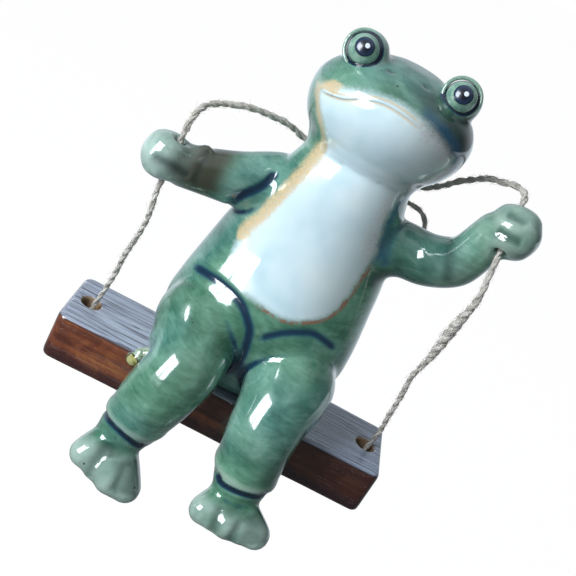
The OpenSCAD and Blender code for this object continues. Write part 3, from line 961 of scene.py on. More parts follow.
@dataclass
class Twine:
    """Two-ply jute twine, laid along its routes as two twisted plies with loose fibres."""

    material: bpy.types.Material
    diameter: float = 2.4
    ply_r: float = 0.76
    ply_out: float = 0.43
    most_spread: float = 1.15
    pitch: float = 9.5
    step: float = 0.4
    sides: int = 9
    # The plies' unevenness: its spacing, and how much it turns, thickens and spreads them
    knot_step: float = 2.5
    drift: float = 0.35
    lumps: float = 0.09
    spread: float = 0.06
    fibre_r: Row = (0.055, 0.02)
    fuzz_reach: float = 2.9
    knot_fuzz_per_mm: float = 2.0

    @staticmethod
    def frames(line: Array) -> tuple[Array, Array, Array]:
        """Gives the forward direction and two side directions along a line, which don't twist."""
        forward = np.gradient(line, axis=0)
        forward /= np.linalg.norm(forward, axis=1)[:, None]
        start = np.cross(forward[0], (0.3, 0.9, 0.2))
        sides = [start / np.linalg.norm(start)]
        for way in forward[1:]:
            side = sides[-1] - way * (sides[-1] @ way)
            sides.append(side / np.linalg.norm(side))
        first = np.array(sides)
        return forward, first, np.cross(forward, first)

    def tube(
        self, line: Array, radii: Array, sides: int, start: int, turn: float
    ) -> tuple[Array, list, list]:
        """Sweeps a closed round tube along a line.

        Args:
            line: its middle line in millimetres.
            radii: its radius at each point.
            sides: how many flat sides it has.
            start: the number of its first point.
            turn: how much the sides turn at each millimetre.

        Returns:
            Its points, its faces, and the lay of each point along and round it.
        """
        _, first, second = self.frames(line)
        count = len(line)
        reach = np.concatenate([[0.0], np.cumsum(np.linalg.norm(np.diff(line, axis=0), axis=1))])
        angles = np.linspace(0, 2 * math.pi, sides, endpoint=False)[None, :] + (reach * turn)[:, None]
        around = first[:, None] * np.cos(angles)[..., None] + second[:, None] * np.sin(angles)[..., None]
        points = (line[:, None] + around * radii[:, None, None]).reshape(-1, 3)
        faces = []
        lays = []
        for i in range(count - 1):
            for k in range(sides):
                a, b = start + i * sides + k, start + i * sides + (k + 1) % sides
                faces.append((a, b, b + sides, a + sides))
                u, w = k / sides, (k + 1) / sides
                lays.append(((reach[i], u), (reach[i], w), (reach[i + 1], w), (reach[i + 1], u)))
        for ring, flip in ((0, True), (count - 1, False)):
            corners = [start + ring * sides + k for k in range(sides)]
            faces.append(tuple(reversed(corners) if flip else corners))
            lays.append(tuple((reach[ring], k / sides) for k in range(sides)))
        return points, faces, lays

    def plies(self, line: Array, swell: Array, chance: np.random.Generator) -> list[tuple[Array, Array]]:
        """Twists two plies round a middle line.

        Args:
            line: the middle line.
            swell: how thick the twine is at each point.
            chance: the source of its unevenness.

        Returns:
            The middle line and the radii of each ply.
        """
        _, first, second = self.frames(line)
        reach = np.linspace(0, 1, len(line)) * self.step * (len(line) - 1)
        knots = np.arange(0, reach[-1] + 3, self.knot_step)

        def uneven(amount: float) -> Array:
            """Gives a smooth random number along the line."""
            return np.interp(reach, knots, chance.normal(0, amount, len(knots)))

        drift = uneven(self.drift)
        made = []
        for k in (0, 1):
            angle = 2 * math.pi * reach / self.pitch + k * math.pi + drift
            radii = self.ply_r * swell * (1 + uneven(self.lumps))
            out = self.ply_out * np.minimum(swell, self.most_spread) * (1 + uneven(self.spread))
            side = first * np.cos(angle)[:, None] + second * np.sin(angle)[:, None]
            made.append((line + side * out[:, None], radii))
        return made

    def fibres(self, line: Array, swell: Array, per_mm: float, chance: np.random.Generator) -> list[Array]:
        """Scatters loose fibres that stand off the twine.

        Args:
            line: the middle line.
            swell: how thick the twine is at each point.
            per_mm: fibres for each millimetre.
            chance: where they stand.

        Returns:
            The middle line of each fibre.
        """
        forward, first, second = self.frames(line)
        made = []
        for _ in range(int(len(line) * self.step * per_mm)):
            i = int(chance.integers(2, len(line) - 2))
            angle = chance.uniform(0, 2 * math.pi)
            out = first[i] * math.cos(angle) + second[i] * math.sin(angle)
            along = forward[i] * chance.choice([-1.0, 1.0])
            around = np.cross(forward[i], out) * chance.normal(0, 0.5)
            length = chance.uniform(0.8, 2.6)
            lift = chance.uniform(0.15, 0.75)
            root = line[i] + out * self.diameter * 0.4 * swell[i]
            shares = np.linspace(0, 1, 4)[:, None]
            rise = out * lift * shares ** chance.uniform(0.6, 2.0)
            path = root + length * shares * (along + around * shares) + rise
            away = path - line[i]
            beside = away - forward[i] * (away @ forward[i])[:, None]
            gap = np.linalg.norm(beside, axis=1)[:, None]
            made.append(path - beside * (1 - np.minimum(1, self.fuzz_reach / gap)))
        return made

    def piece(self, name: str, line: Array, swell: Array, fuzz: float, seed: int) -> Thing:
        """Makes the mesh of one stretch of twine, with its lay as a UV map.

        Args:
            name: the piece's name.
            line: its middle line.
            swell: how thick it is at each point.
            fuzz: fibres for each millimetre.
            seed: the seed of its unevenness.

        Returns:
            The new object, at the origin.
        """
        chance = np.random.default_rng(seed)
        tubes = [(*ply, self.sides, 2 * math.pi / self.pitch) for ply in self.plies(line, swell, chance)]
        for path in self.fibres(line, swell, fuzz, chance):
            tubes.append((path, np.linspace(*self.fibre_r, len(path)), 3, 0.0))
        points, faces, lays = [], [], []
        start = 0
        for middle, radii, sides, turn in tubes:
            tube_points, tube_faces, tube_lays = self.tube(middle, radii, sides, start, turn)
            points.append(tube_points)
            faces.extend(tube_faces)
            lays.extend(tube_lays)
            start += len(tube_points)
        places = (np.concatenate(points) - np.array(HANG_PLACE)) * MM
        mesh = bpy.data.meshes.new(name)
        mesh.from_pydata([tuple(p) for p in places], [], faces)
        mesh.update()
        obj = bpy.data.objects.new(name, mesh)
        bpy.context.scene.collection.objects.link(obj)
        layer = mesh.uv_layers.new(name="lay")
        layer.data.foreach_set("uv", [number for face in lays for corner in face for number in corner])
        return obj

    def lay(self, strand: Strand, knots: list[Thing], seed: int) -> None:
        line = curve_through(strand.route, self.step)
        obj = self.piece(strand.name, line, strand.swell(len(line)), strand.fuzz_per_mm, seed)
        dress(obj, self.material, strand.body, "jute", strand.node)

    def knot(self, name: str, node: str, line: Array, thick: float, seed: int) -> Thing:
        """Ties a knot along its own line, as thick as a share of the free twine, and gives its object."""
        obj = self.piece(name, line, np.full(len(line), thick), self.knot_fuzz_per_mm, seed)
        dress(obj, self.material, "ornament", "jute", node)
        return obj


@dataclass
class Rigging:
    """All the twine: two hanging sides, two upper stretches, the loop and the knots."""

    stop_r: float = 4.1
    stop_pitch: float = 2.6
    stop_turns: int = 2
    stop_top: float = 1.35
    stop_bottom: float = 5.4
    stop_tail: float = 2.0
    nape: Row = (19.0, 24.0, 90.0)
    nape_r: float = 1.75
    nape_turns: int = 3
    nape_half: float = 3.1
    left_lower: Route = (
        (-57.5, 0, -19), (-57.5, 0, -12), (-57, 0, -5), (-56, 0, 2), (-55, -1.5, 9), (-54, -4, 16.5),
        (-53.5, -7, 25.5), (-52.5, -10.5, 34), (-51.5, -13.5, 41.5), (-51, -16, 48.5), (-51.5, -17.5, 55.5),
        (-52, -17.5, 61.5), (-52, -17.5, 68), (-52, -17.5, 75.5), (-52, -17.5, 83),
    )
    left_upper: Route = (
        (-52, -17.5, 83), (-52, -17.5, 85), (-51.5, -14.5, 88.5), (-49.5, -8.5, 91), (-44, -2.5, 92.5),
        (-38, 1.5, 93.5), (-31, 6.5, 93), (-23.5, 12, 91.5), (-15.5, 17.5, 88), (-8, 21, 87.5),
        (0, 23.5, 89), (8, 24, 90), (14.5, 24, 90),
    )
    right_lower: Route = (
        (57.5, 0, -19), (57.5, 0, -12), (58, 0, -5), (59, 0, 2), (59, -1.5, 8.5), (58, -4, 17),
        (57, -6.5, 28), (55.5, -9.5, 39), (56, -13.5, 50), (55.5, -18, 62), (55.5, -21.5, 71.5),
        (55.5, -24.5, 80), (55, -25, 86), (54.5, -22.5, 91), (54.5, -19.5, 95), (54.5, -13.5, 103),
        (54.5, -6.75, 112),
    )
    right_upper: Route = (
        (54.5, -6.75, 112), (54.5, -6, 113), (53.5, -3.5, 114), (51, 0, 113.5), (48, 2.5, 112),
        (44, 6, 110), (40, 10, 106), (37, 13, 102.5), (34.5, 16, 98.5), (31.5, 19.5, 94.5),
        (28.5, 22.5, 91.5), (26, 24, 90), (23.5, 24, 90),
    )
    loop: Route = (
        (17, 24, 86.5), (17, 24, 85.5), (14, 24, 83.5), (9.5, 24, 83.5), (4.5, 24, 82.5), (1, 24, 78.5),
        (0.5, 24, 72), (2, 24, 65), (5.5, 24, 57), (8.5, 24, 49), (11.5, 24, 41), (14.5, 24, 34.5),
        (19, 24, 31.5), (23.5, 24, 34.5), (26.5, 24, 41), (29.5, 24, 49), (32.5, 24, 57), (36, 24, 65),
        (37.5, 24, 72), (37, 24, 78.5), (33.5, 24, 82.5), (28.5, 24, 83.5), (24, 24, 83.5),
        (21, 24, 85.5), (21, 24, 86.5),
    )

    def stop_line(self, side: int) -> Array:
        """Gives the line of a stop knot: down out of the hole, two narrowing turns, and a cut end."""
        middle = np.array([side * HOLE_OUT, 0.0, -PLANK_T])
        rows = [middle + (0, 0, 1.0), middle + (0, 0, -1.6)]
        for t in np.linspace(0, self.stop_turns, 10 * self.stop_turns + 1):
            angle = 2 * math.pi * t
            drop = self.stop_top + t * self.stop_pitch / 2 * 1.05
            out = self.stop_r * (1 - 0.12 * t)
            rows.append(middle + (out * math.cos(angle), out * math.sin(angle), -drop))
        rows += [middle + (1.2, 0.4, -4.0), middle + (0, 0, -self.stop_bottom)]
        rows.append(middle + (0, 0, -self.stop_bottom - self.stop_tail))
        return curve_through(rows, Twine.step)

    def nape_line(self) -> Array:
        """Gives the line of the knot behind the neck: three turns round the twine."""
        middle = np.array(self.nape)
        rows = [middle + (-4.6, 0, 0), middle + (-3.9, 0.5, 0.5)]
        for t in np.linspace(0, self.nape_turns, 10 * self.nape_turns + 1):
            angle = 2 * math.pi * t
            along = 2.1 * t - self.nape_half
            rows.append(middle + (along, self.nape_r * math.cos(angle), self.nape_r * math.sin(angle)))
        rows += [middle + (3.9, 0.5, 0.3), middle + (4.6, 0, 0)]
        return curve_through(rows, Twine.step)

    def build(self) -> None:
        """Ties the knots and lays the twine."""
        twine = Twine(JuteTwine().make())
        left_stop = twine.knot("left_stop_knot_twine", "left_stop_knot", self.stop_line(LEFT), 1.05, 11)
        right_stop = twine.knot("right_stop_knot_twine", "right_stop_knot", self.stop_line(RIGHT), 1.05, 12)
        nape = twine.knot("nape_knot_twine", "nape_knot", self.nape_line(), 1.1, 13)
        twine.lay(Strand("left_lower_twine", "left_lower_rope", self.left_lower, thick=0.82), [left_stop], 1)
        lower_right = ("right_lower_twine", "right_lower_rope", self.right_lower)
        slub = (0.50, 0.72, 2.1)
        twine.lay(Strand(*lower_right, slub=slub, thick=0.85, fuzz_per_mm=7.5), [right_stop], 2)
        twine.lay(Strand("left_upper_twine", "left_upper_rope", self.left_upper), [nape], 3)
        twine.lay(Strand("right_upper_twine", "right_upper_rope", self.right_upper), [], 4)
        twine.lay(Strand("hanging_loop_twine", "hanging_loop", self.loop, "loop", thick=0.85), [], 5)


# Frog

# What the glaze reads at each point of the frog's skin
GLAZE_MAPS = (
    "pool", "ridge", "belly_mm", "mouth_mm", "mouth", "warm", "rust", "cool", "shade", "deep", "speck_mm",
    "pale", "wrist",
)
# How much wider than a groove its pooled glaze is
POOL_SPREAD = 1.3
# How deep a groove reaches along the camera's view, and how much further off a point past that counts
GROOVE_REACH = 6.0
BEHIND = 9.0


class Pooled(Enum):
    """What colour the glaze has where it pools; the green one also carries painted shade."""

    NAVY = "pool"
    GREEN = "deep"


@dataclass
class Groove:
    """A soft groove pressed into the clay, where the glaze pools: its depth, width, darkness and line. Those
    of no depth only darken the glaze, most of them as painted shade.
    """

    depth: float
    width: float
    darkening: float
    line: Route
    tint: Pooled = Pooled.NAVY

    def press(self, points: Array, spread: float = 1.0) -> Array:
        """Gives how strongly the groove acts at each point, from 0 to 1.

        Args:
            points: the points of the skin.
            spread: how much wider than the groove it acts.

        Returns:
            Its strength, which fades towards the groove's ends.
        """
        line = curve_through(self.line, 0.7)
        forward = np.array(Studio.forward)
        beside = np.eye(3) - np.outer(forward, forward)
        best = np.full(len(points), 1e9)
        along = np.zeros(len(points))
        for i, place in enumerate(line):
            away = points - place
            gap = np.linalg.norm(away @ beside, axis=1) + BEHIND * (np.abs(away @ forward) > GROOVE_REACH)
            along = np.where(gap < best, i / (len(line) - 1), along)
            best = np.minimum(gap, best)
        ends = rises(np.minimum(along, 1 - along), -0.03, 0.14)
        return bell(best, self.width * spread) * ends


GROOVES = (
    # Between the fingers
    Groove(
        0.9, 1.4, 0.75, ((-58, -25, 73.2), (-55.1, -25.6, 72.9), (-49.4, -24.1, 72.5), (-43.8, -21.1, 70.5)),
        Pooled.GREEN,
    ),
    Groove(0.9, 1.3, 0.6, ((48.8, -19.4, 102.8), (53.2, -22.2, 103.5), (58, -22.2, 103.9)), Pooled.GREEN),
    Groove(0.7, 1.2, 0.45, ((49.4, -17.4, 108.4), (52.3, -19.3, 109.3), (56.5, -20.3, 109.3)), Pooled.GREEN),
    # Where the feet meet the legs
    Groove(
        1.0, 1.0, 0.9,
        (
            (-34.5, -34, -13.5), (-32.6, -39.3, -13.6), (-27.3, -43.5, -13), (-23, -44.2, -14),
            (-17.6, -41.1, -17), (-17, -34, -18),
        ),
    ),
    Groove(
        1.0, 1.0, 0.9,
        (
            (10.6, -34, -15.5), (11.6, -40, -15.2), (13, -42.5, -14.8), (19.2, -44.6, -13.2),
            (26.5, -41.5, -13), (28.4, -34, -13),
        ),
    ),
    # Between the toes
    Groove(
        0.6, 1.5, 0.5, ((-28, -45, -20.5), (-27.8, -46.5, -23), (-28.9, -49, -28.9), (-28.6, -48, -33.5)),
        Pooled.GREEN,
    ),
    Groove(0.55, 1.5, 0.5, ((-18.8, -45.5, -23), (-18.4, -47.5, -27.5), (-18.6, -49.8, -33.5)), Pooled.GREEN),
    Groove(0.6, 1.5, 0.5, ((16.2, -46, -20.5), (16.6, -48, -24.1), (17.4, -50, -29.5)), Pooled.GREEN),
    Groove(0.6, 1.5, 0.5, ((24.9, -46, -21), (24.4, -48.5, -25), (24.2, -50, -30)), Pooled.GREEN),
    # Soft dents below the ankles
    Groove(0.25, 3.0, 0.6, ((-28.5, -45.5, -18.5), (-25.5, -46.1, -24.5)), Pooled.GREEN),
    Groove(0.25, 2.0, 0.25, ((15, -44.5, -19.5), (23, -45, -20.5)), Pooled.GREEN),
    # Painted shade on the right sides of the feet and the shins, away from the lamp
    Groove(0.0, 4.6, 0.62, ((-18, -44, -20.5), (-14.5, -47, -27), (-13.5, -46.5, -34)), Pooled.GREEN),
    Groove(0.0, 4.2, 0.52, ((26.5, -44, -19), (30.5, -47, -23), (33.5, -46, -28)), Pooled.GREEN),
    Groove(0.0, 4.5, 0.38, ((-5.5, -34, 14), (-10, -37, 3), (-16, -38.5, -9)), Pooled.GREEN),
    Groove(0.0, 4.0, 0.3, ((29, -35, 6), (27.5, -37, -3), (26, -39, -11)), Pooled.GREEN),
    # Painted shade on the far edge of the right fist
    Groove(
        0.0, 3.6, 0.42, ((61.5, -12.5, 111), (64, -13.5, 105), (63, -15.5, 99), (59, -17.5, 95)), Pooled.GREEN
    ),
    # Folds where the arms leave the shoulders, and round the left wrist
    Groove(
        0.7, 1.4, 0.75, ((-30, -12.5, 63.5), (-27.1, -13, 69.8), (-22.3, -11.1, 75.9), (-20.1, -6.6, 81.8))
    ),
    Groove(0.4, 2.2, 0.42, ((22, -8.3, 85.7), (23.6, -8.8, 79.5), (25, -9.6, 74.4), (27.3, -8.5, 68.9))),
    Groove(
        0.4, 1.2, 0.4, ((-43, -14, 80), (-42.5, -19, 76.5), (-42, -20.5, 72), (-42, -18.5, 66.5)),
        Pooled.GREEN,
    ),
    # Round the tops of the thighs
    Groove(
        0.5, 1.4, 0.75,
        (
            (-31.7, -8.9, 37.1), (-27.3, -14.2, 39.7), (-18.8, -19.6, 41.4), (-10.8, -22.9, 40.2),
            (-5.3, -25, 36), (-2.9, -25.6, 32.2), (-1.1, -23.4, 22.1), (-1.6, -22, 15),
        ),
    ),
    Groove(
        0.6, 1.3, 0.62,
        (
            (0, -25.6, 30.9), (3.4, -25.4, 35.4), (8.3, -24, 38.8), (13.1, -22.4, 40.8),
            (17.2, -20.8, 41.4), (22.9, -18.5, 39.5), (27.5, -15.8, 37),
        ),
    ),
    # The brow beside the right eye
    Groove(0.35, 1.0, 0.7, ((12.3, -10.5, 130.9), (16.1, -17.4, 127.9), (20.4, -17.8, 126.1)), Pooled.GREEN),
    # A darker brush stroke across the right elbow
    Groove(0.0, 2.0, 0.65, ((39.9, -6.1, 89.4), (42.1, -16.5, 85.6), (46.4, -15.2, 77.1)), Pooled.GREEN),
)


@dataclass(frozen=True)
class DarkPatch:
    """Dark green over an area, for dark glaze and painted shade: how dark, and where it starts, is full, is
    full still and ends, sideways and up.
    """

    darkening: float
    sideways: Row
    upward: Row
    front_only: bool = False

    def spread(self, points: Array) -> Array:
        """Gives how dark the patch is at each point."""
        x, y, z = points.T
        dark = self.darkening * within(x, self.sideways) * within(z, self.upward)
        return dark * rises(y, -2.0, -8.0) if self.front_only else dark


@dataclass(frozen=True)
class Fist:
    """A fist: the middle of its bore, how far outside it its own middle is, its half sizes and its tilt."""

    name: str
    place: Row
    outward: float
    size: Row
    tilt: float

    def model(self) -> Thing:
        """Models a round palm and three soft fingers round the rope's bore."""
        # Place and half sizes of the palm and of each finger, as shares of the fist's half sizes
        shares = np.array(
            [
                (0.0, 0.0, 0.0, 1.0, 1.0, 1.0),
                (0.0, 0.0, -0.58, 0.80, 0.84, 0.42),
                (0.0, -0.06, 0.02, 0.99, 1.0, 0.42),
                (0.0, 0.0, 0.60, 0.84, 0.86, 0.42),
            ]
        )
        chain = shares * np.tile(self.size, 2)
        chain[:, :3] += np.array(self.place) + (self.outward, 0.0, 0.0)
        fist = ball_chain(self.name, [chain])
        pivot = at(*self.place)
        lean = Matrix.Rotation(-math.radians(self.tilt), 4, "X")
        fist.data.transform(Matrix.Translation(pivot) @ lean @ Matrix.Translation(-pivot))
        return fist


@dataclass(frozen=True)
class Foot:
    """A foot: the middle of its ankle, and the place and the radius of each toe's end."""

    name: str
    ankle: Row
    toes: Route

    def model(self) -> Thing:
        """Models three soft toes that spread from the heel, with webs between them."""
        place = np.array(self.ankle)
        heel = place + (0.0, -2.5, -4.2)
        chains = [np.array([(*(place + (0, 0, 1.0)), 8.2), (*heel, 8.2)])]
        tips = np.array(self.toes, float)
        webs = (tips[:-1] + tips[1:]) / 2 - (0.0, 0.0, 0.0, 0.1)
        for tip in [*tips, *webs]:
            rows = [(*heel, 7.8), (*(heel * 0.45 + tip[:3] * 0.55), 6.8), tuple(tip)]
            chains.append(curve_through(rows, 1.4))
        return ball_chain(self.name, chains)


@dataclass
class FaceLines:
    """Lines on the frog's front, as sideways place and height in millimetres."""

    # Round the white throat and belly, from the left corner of the mouth over the lip
    belly_corners: Route = (
        (-21.8, 115.4), (-19.2, 117.9), (-15.6, 119.8), (-8.0, 123.5), (2.3, 125.2), (13.2, 123.5),
        (23.1, 119.4), (27.6, 113.5), (26.2, 106.9), (21.3, 95.4), (18.9, 89.0), (21.3, 76.4),
        (22.0, 66.0), (20.5, 52.8), (17.3, 47.3), (11.9, 43.6), (5.6, 41.7), (-3.0, 41.9),
        (-13.5, 43.5), (-19.8, 46.3), (-21.8, 51.4), (-21.1, 57.4), (-17.7, 69.3), (-14.5, 81.2),
        (-12.5, 91.2), (-11.5, 99.5), (-14.2, 103.8), (-20.7, 112.0), (-21.8, 115.4),
    )
    mouth_corners: Route = (
        (-19.6, 115.2), (-16.0, 116.4), (-12.5, 118.0), (-8.9, 120.4), (-2.2, 122.9), (4.5, 123.0),
        (11.0, 121.8),
    )
    lip_ledge: Route = (
        (-20, 115.6), (-15.8, 117.2), (-12, 119), (-8, 121.6), (-2, 123.6), (5, 123.8), (11, 122.5),
    )
    mouth_corner: Row = (-16.6, 117.2)
    warm: Route = (
        (-19.4, 118), (-20.7, 112.7), (-12.6, 102), (-12.5, 91.2), (-14.6, 81.8), (-17.8, 70.2), (-20.5, 61),
    )
    rusty: Route = ((0, 41.9), (6, 42.2), (12.2, 44.2), (17.2, 48), (20.3, 54), (21.6, 64))
    cool: Route = (
        (15, 123.5), (23.2, 119.4), (27.2, 115.9), (28.3, 111.1), (26.6, 106.6), (20.6, 95.4), (19.2, 84.4),
        (21, 76),
    )
    # Places on the skin
    nostrils: Route = ((-3.9, -14.3, 129.3), (7.9, -13.7, 130.0))
    # Middle of the painted shade beside the right eye
    painted_shade_beside_eye: Row = (13.5, -18.0, 127.0)
    specks: Route = (
        (-0.4, -20.6, 127.9), (11.9, -20.4, 53.6), (11.7, -20.8, 52.2), (-31.7, -48.5, -28.7),
        (-12.6, -46.1, -30.0),
    )

    @property
    def belly(self) -> Array:
        """Gives the smooth closed outline of the white throat and belly."""
        return curve_through(self.belly_corners, 1.5, places=2)[:-1]

    @property
    def mouth(self) -> Array:
        """Gives the smooth line of the mouth."""
        return curve_through(self.mouth_corners, 1.0, places=2)


@dataclass
class FrogBody:
    """The cast frog: torso, head, arms, fists, legs and feet, drawn as one glazed surface."""

    voxel: float = 0.8
    skin_rounds: int = 9
    lean: float = 3.2
    seat_shift: float = 1.5
    torso_h: float = 93.0
    level_step: float = 1.8
    limb_step: float = 1.6
    # Height, width, front and back of each level of the torso and the head
    torso: Route = (
        (0.6, 50.0, 12.8, 15.0), (8.0, 62.6, 17.0, 17.6), (21.1, 69.5, 23.0, 19.8),
        (30.0, 68.6, 25.6, 20.1), (37.0, 67.0, 25.2, 20.2), (49.0, 63.2, 21.3, 19.8),
        (60.1, 59.4, 18.7, 18.9), (73.1, 52.8, 17.5, 17.6), (84.3, 45.2, 17.8, 15.8),
        (93.6, 39.0, 17.0, 15.0), (98.6, 35.0, 14.8, 14.0),
    )
    head: Route = (
        (93.6, 39.0, 14.8, 15.0), (99.0, 43.1, 17.0, 17.3), (104.4, 50.4, 22.6, 18.7),
        (111.3, 55.4, 26.8, 19.2), (118.2, 55.4, 28.3, 19.2), (124.0, 48.7, 26.4, 16.3),
        (127.9, 38.1, 21.1, 12.5), (130.6, 25.8, 13.9, 7.7), (132.1, 14.6, 7.2, 3.8),
    )
    # The arms and the legs as chains of balls: place and radius
    limbs: tuple[Route, ...] = (
        (
            (-7.8, 8.2, 75.9, 7.5), (-15.9, 3.5, 73.6, 11.8), (-28.8, -4.0, 71.9, 9.7),
            (-39.1, -10.0, 71.2, 8.2), (-48.1, -15.3, 71.0, 7.3),
        ),
        (
            (11.4, 6.0, 64.6, 7.5), (20.4, 1.4, 71.5, 11.6), (29.9, -0.2, 75.5, 9.8), (38.6, -2.0, 77.0, 9.3),
            (45.3, -7.2, 82.1, 8.7), (48.1, -10.4, 87.4, 7.9), (51.2, -11.9, 99.4, 7.2),
        ),
        (
            (-19.4, -15.0, 22.0, 15.7), (-18.0, -20.6, 17.8, 14.9), (-17.1, -27.2, 14.5, 13.6),
            (-17.4, -32.8, 10.8, 12.7), (-21.0, -35.2, -0.4, 12.2), (-24.0, -34.5, -14.1, 10.2),
            (-25.9, -34.0, -21.0, 8.5),
        ),
        (
            (18.4, -17.0, 18.3, 16.1), (18.4, -22.0, 14.6, 15.1), (17.6, -27.4, 11.2, 13.6),
            (17.2, -31.8, 4.6, 12.7), (18.0, -32.4, -3.2, 12.2), (18.8, -33.7, -11.0, 11.2),
            (19.5, -34.0, -20.0, 8.8),
        ),
    )
    # The ball of each thigh that rests on the plank, and the small clay knob on the left wrist
    extra_balls: Route = ((-18.2, -20.5, 15.6, 14.9), (17.9, -20.5, 15.6, 14.9), (-43.6, -13.5, 78.4, 2.4))
    fists: tuple[Fist, Fist] = (
        Fist("left_fist_shape", (-52.0, -17.5, 72.0), -2.3, (8.3, 8.2, 7.8), 0.0),
        Fist("right_fist_shape", (54.5, -13.5, 103.0), 1.2, (9.5, 9.2, 8.6), 37.0),
    )
    bore_r: float = 2.25
    bore_depth: float = 30.0
    feet: tuple[Foot, Foot] = (
        Foot(
            "left_foot_shape", (-26.0, -34.0, -20.0),
            ((-33.5, -43.6, -28.2, 5.3), (-21.6, -45.0, -32.4, 5.6), (-15.4, -43.6, -33.8, 5.5)),
        ),
        Foot(
            "right_foot_shape", (19.5, -34.0, -20.0),
            ((11.9, -43.6, -27.1, 5.4), (21.5, -45.0, -26.8, 5.7), (31.6, -43.6, -26.7, 5.6)),
        ),
    )
    lids: Route = ((-12.9, -8.2, 129.9, 7.1), (20.3, -8.2, 130.6, 6.7))
    eyes: Route = ((-14.1, -11.6, 130.6, 5.2), (19.1, -11.6, 132.3, 4.95))
    # Painted shade: on the right cheek over its dark glaze, on the right side of the face, and on the right
    # arm
    patches: tuple[DarkPatch, ...] = (
        DarkPatch(0.95, (17.0, 25.0, 32.0, 36.0), (97.0, 103.0, 126.0, 134.0)),
        DarkPatch(0.85, (8.0, 19.0, 32.0, 36.0), (97.0, 103.0, 126.0, 131.0), front_only=True),
        DarkPatch(0.5, (22.0, 27.0, 38.0, 48.0), (60.0, 64.0, 91.0, 95.0)),
    )

    def centre(self, level: Row) -> Vector:
        """Gives the middle of a level of the leaning frog."""
        z, _, front, back = level
        share = z / self.torso_h
        return at(self.lean * share - self.seat_shift * max(0.0, 1 - share), (back - front) / 2, z)

    def loft(self, name: str, rows: Route) -> Thing:
        """Raises one cast shape level by level from a flat oval and gives its object."""
        levels = curve_through(rows, self.level_step, places=1)
        deselect()
        _, width, front, back = levels[0]
        base = self.centre(levels[0])
        bpy.ops.mesh.primitive_circle_add(vertices=72, radius=MM / 2, fill_type="NGON", location=base)
        shape = bpy.context.object
        bpy.ops.object.mode_set(mode="EDIT")
        bpy.ops.mesh.select_all(action="SELECT")
        bpy.ops.transform.resize(value=(width, front + back, 1.0), center_override=base)
        for low, high in zip(levels, levels[1:]):
            there = self.centre(high)
            bpy.ops.mesh.extrude_region_move(TRANSFORM_OT_translate={"value": there - self.centre(low)})
            growth = (high[1] / low[1], (high[2] + high[3]) / (low[2] + low[3]), 1.0)
            bpy.ops.transform.resize(value=growth, center_override=there)
        bpy.ops.mesh.select_all(action="SELECT")
        bpy.ops.mesh.normals_make_consistent(inside=False)
        bpy.ops.object.mode_set(mode="OBJECT")
        return join([shape], name)

    def cast(self) -> Thing:
        """Joins the shapes and draws one even skin over them, with the bores cut."""
        limbs = [curve_through(rows, self.limb_step) for rows in self.limbs]
        shapes = [
            self.loft("torso_shape", self.torso),
            self.loft("head_shape", self.head),
            ball_chain("limb_shapes", [*limbs, np.array(self.extra_balls)]),
            *[part.model() for part in (*self.fists, *self.feet)],
            ball_chain("lid_shapes", [np.array(self.lids)]),
        ]
        frog = join(shapes, "glazed_frog")
        remesh(frog, self.voxel)
        for fist in self.fists:
            drill(frog, fist.place, self.bore_r, self.bore_depth, 32, fist.tilt)
        remesh(frog, self.voxel)
        return frog

    def carve(self, frog: Thing) -> None:
        """Smooths the skin and presses in the face's ledge and grooves."""
        points = relax(frog, points_of(frog), self.skin_rounds)
        set_points(frog, points)
        lines = FaceLines()
        face = rises(points[:, 1], -6.0, -10.0)
        front = points[:, [0, 2]]
        lift = 0.35 * bell(line_distance(front, lines.lip_ledge)[0], 2.8) * face
        lift -= 0.22 * bell(line_distance(front, lines.mouth - (0.0, 1.1))[0], 0.9) * face
        for nostril in lines.nostrils:
            lift -= 0.7 * bell(distance(points, nostril), 1.2)
        for groove in GROOVES:
            lift -= groove.depth * groove.press(points)
        # The legs swell just above the ankles' creases
        for foot in self.feet:
            across = distance(points[:, :2], foot.ankle[:2])
            lift += 0.7 * bell(points[:, 2] + 10.8, 2.2) * rises(across, 16.0, 12.5)
        set_points(frog, points + normals_of(frog) * lift[:, None])

    def pools(self, points: Array, bend: Array) -> Array:
        """Gives where glaze pools: in grooves, round each eyeball and below its lid."""
        pool = rises(bend, 0.15, 1.5)
        for groove in GROOVES:
            if groove.tint is Pooled.NAVY:
                pool = np.maximum(pool, groove.darkening * groove.press(points, POOL_SPREAD))
        for eye, lid in zip(self.eyes, self.lids):
            out = distance(points, eye[:3]) - eye[3]
            pool = np.maximum(pool, rises(out, 1.25, 0.5))
            base = distance(points, lid[:3]) - lid[3]
            down_left = (lid[2] - points[:, 2] + lid[0] - points[:, 0]) / 2
            under = rises(down_left, 1.0, 4.5) * rises(points[:, 1], -6.0, -10.0)
            pool = np.maximum(pool, 0.85 * under * rises(base, 1.6, 0.2))
        return pool

    def dark_glaze_and_shade(self, points: Array, lines: FaceLines) -> Array:
        """Gives where the glaze is dark green: thick in the nostrils and grooves, and painted shade beside
        the right eye, on the right side of the face and the right arm, on the far edge of the right fist and
        on the right sides of the feet and shins.
        """
        dents = np.min([distance(points, nostril) for nostril in lines.nostrils], axis=0)
        beside_eye = distance(points, lines.painted_shade_beside_eye)
        # Dark glaze in the nostrils' dents, and painted shade beside the right eye
        layers = [0.6 * rises(dents, 2.4, 0.6), 0.6 * rises(beside_eye, 13.0, 3.0)]
        layers += [patch.spread(points) for patch in self.patches]
        for groove in GROOVES:
            if groove.tint is Pooled.GREEN:
                layers.append(groove.darkening * groove.press(points, POOL_SPREAD))
        return np.max(layers, axis=0)

    def paint_maps(self, frog: Thing) -> None:
        """Stores where each glaze effect shows."""
        points = points_of(frog)
        normals = normals_of(frog)
        lines = FaceLines()
        x, y, z = points.T
        front = points[:, [0, 2]]
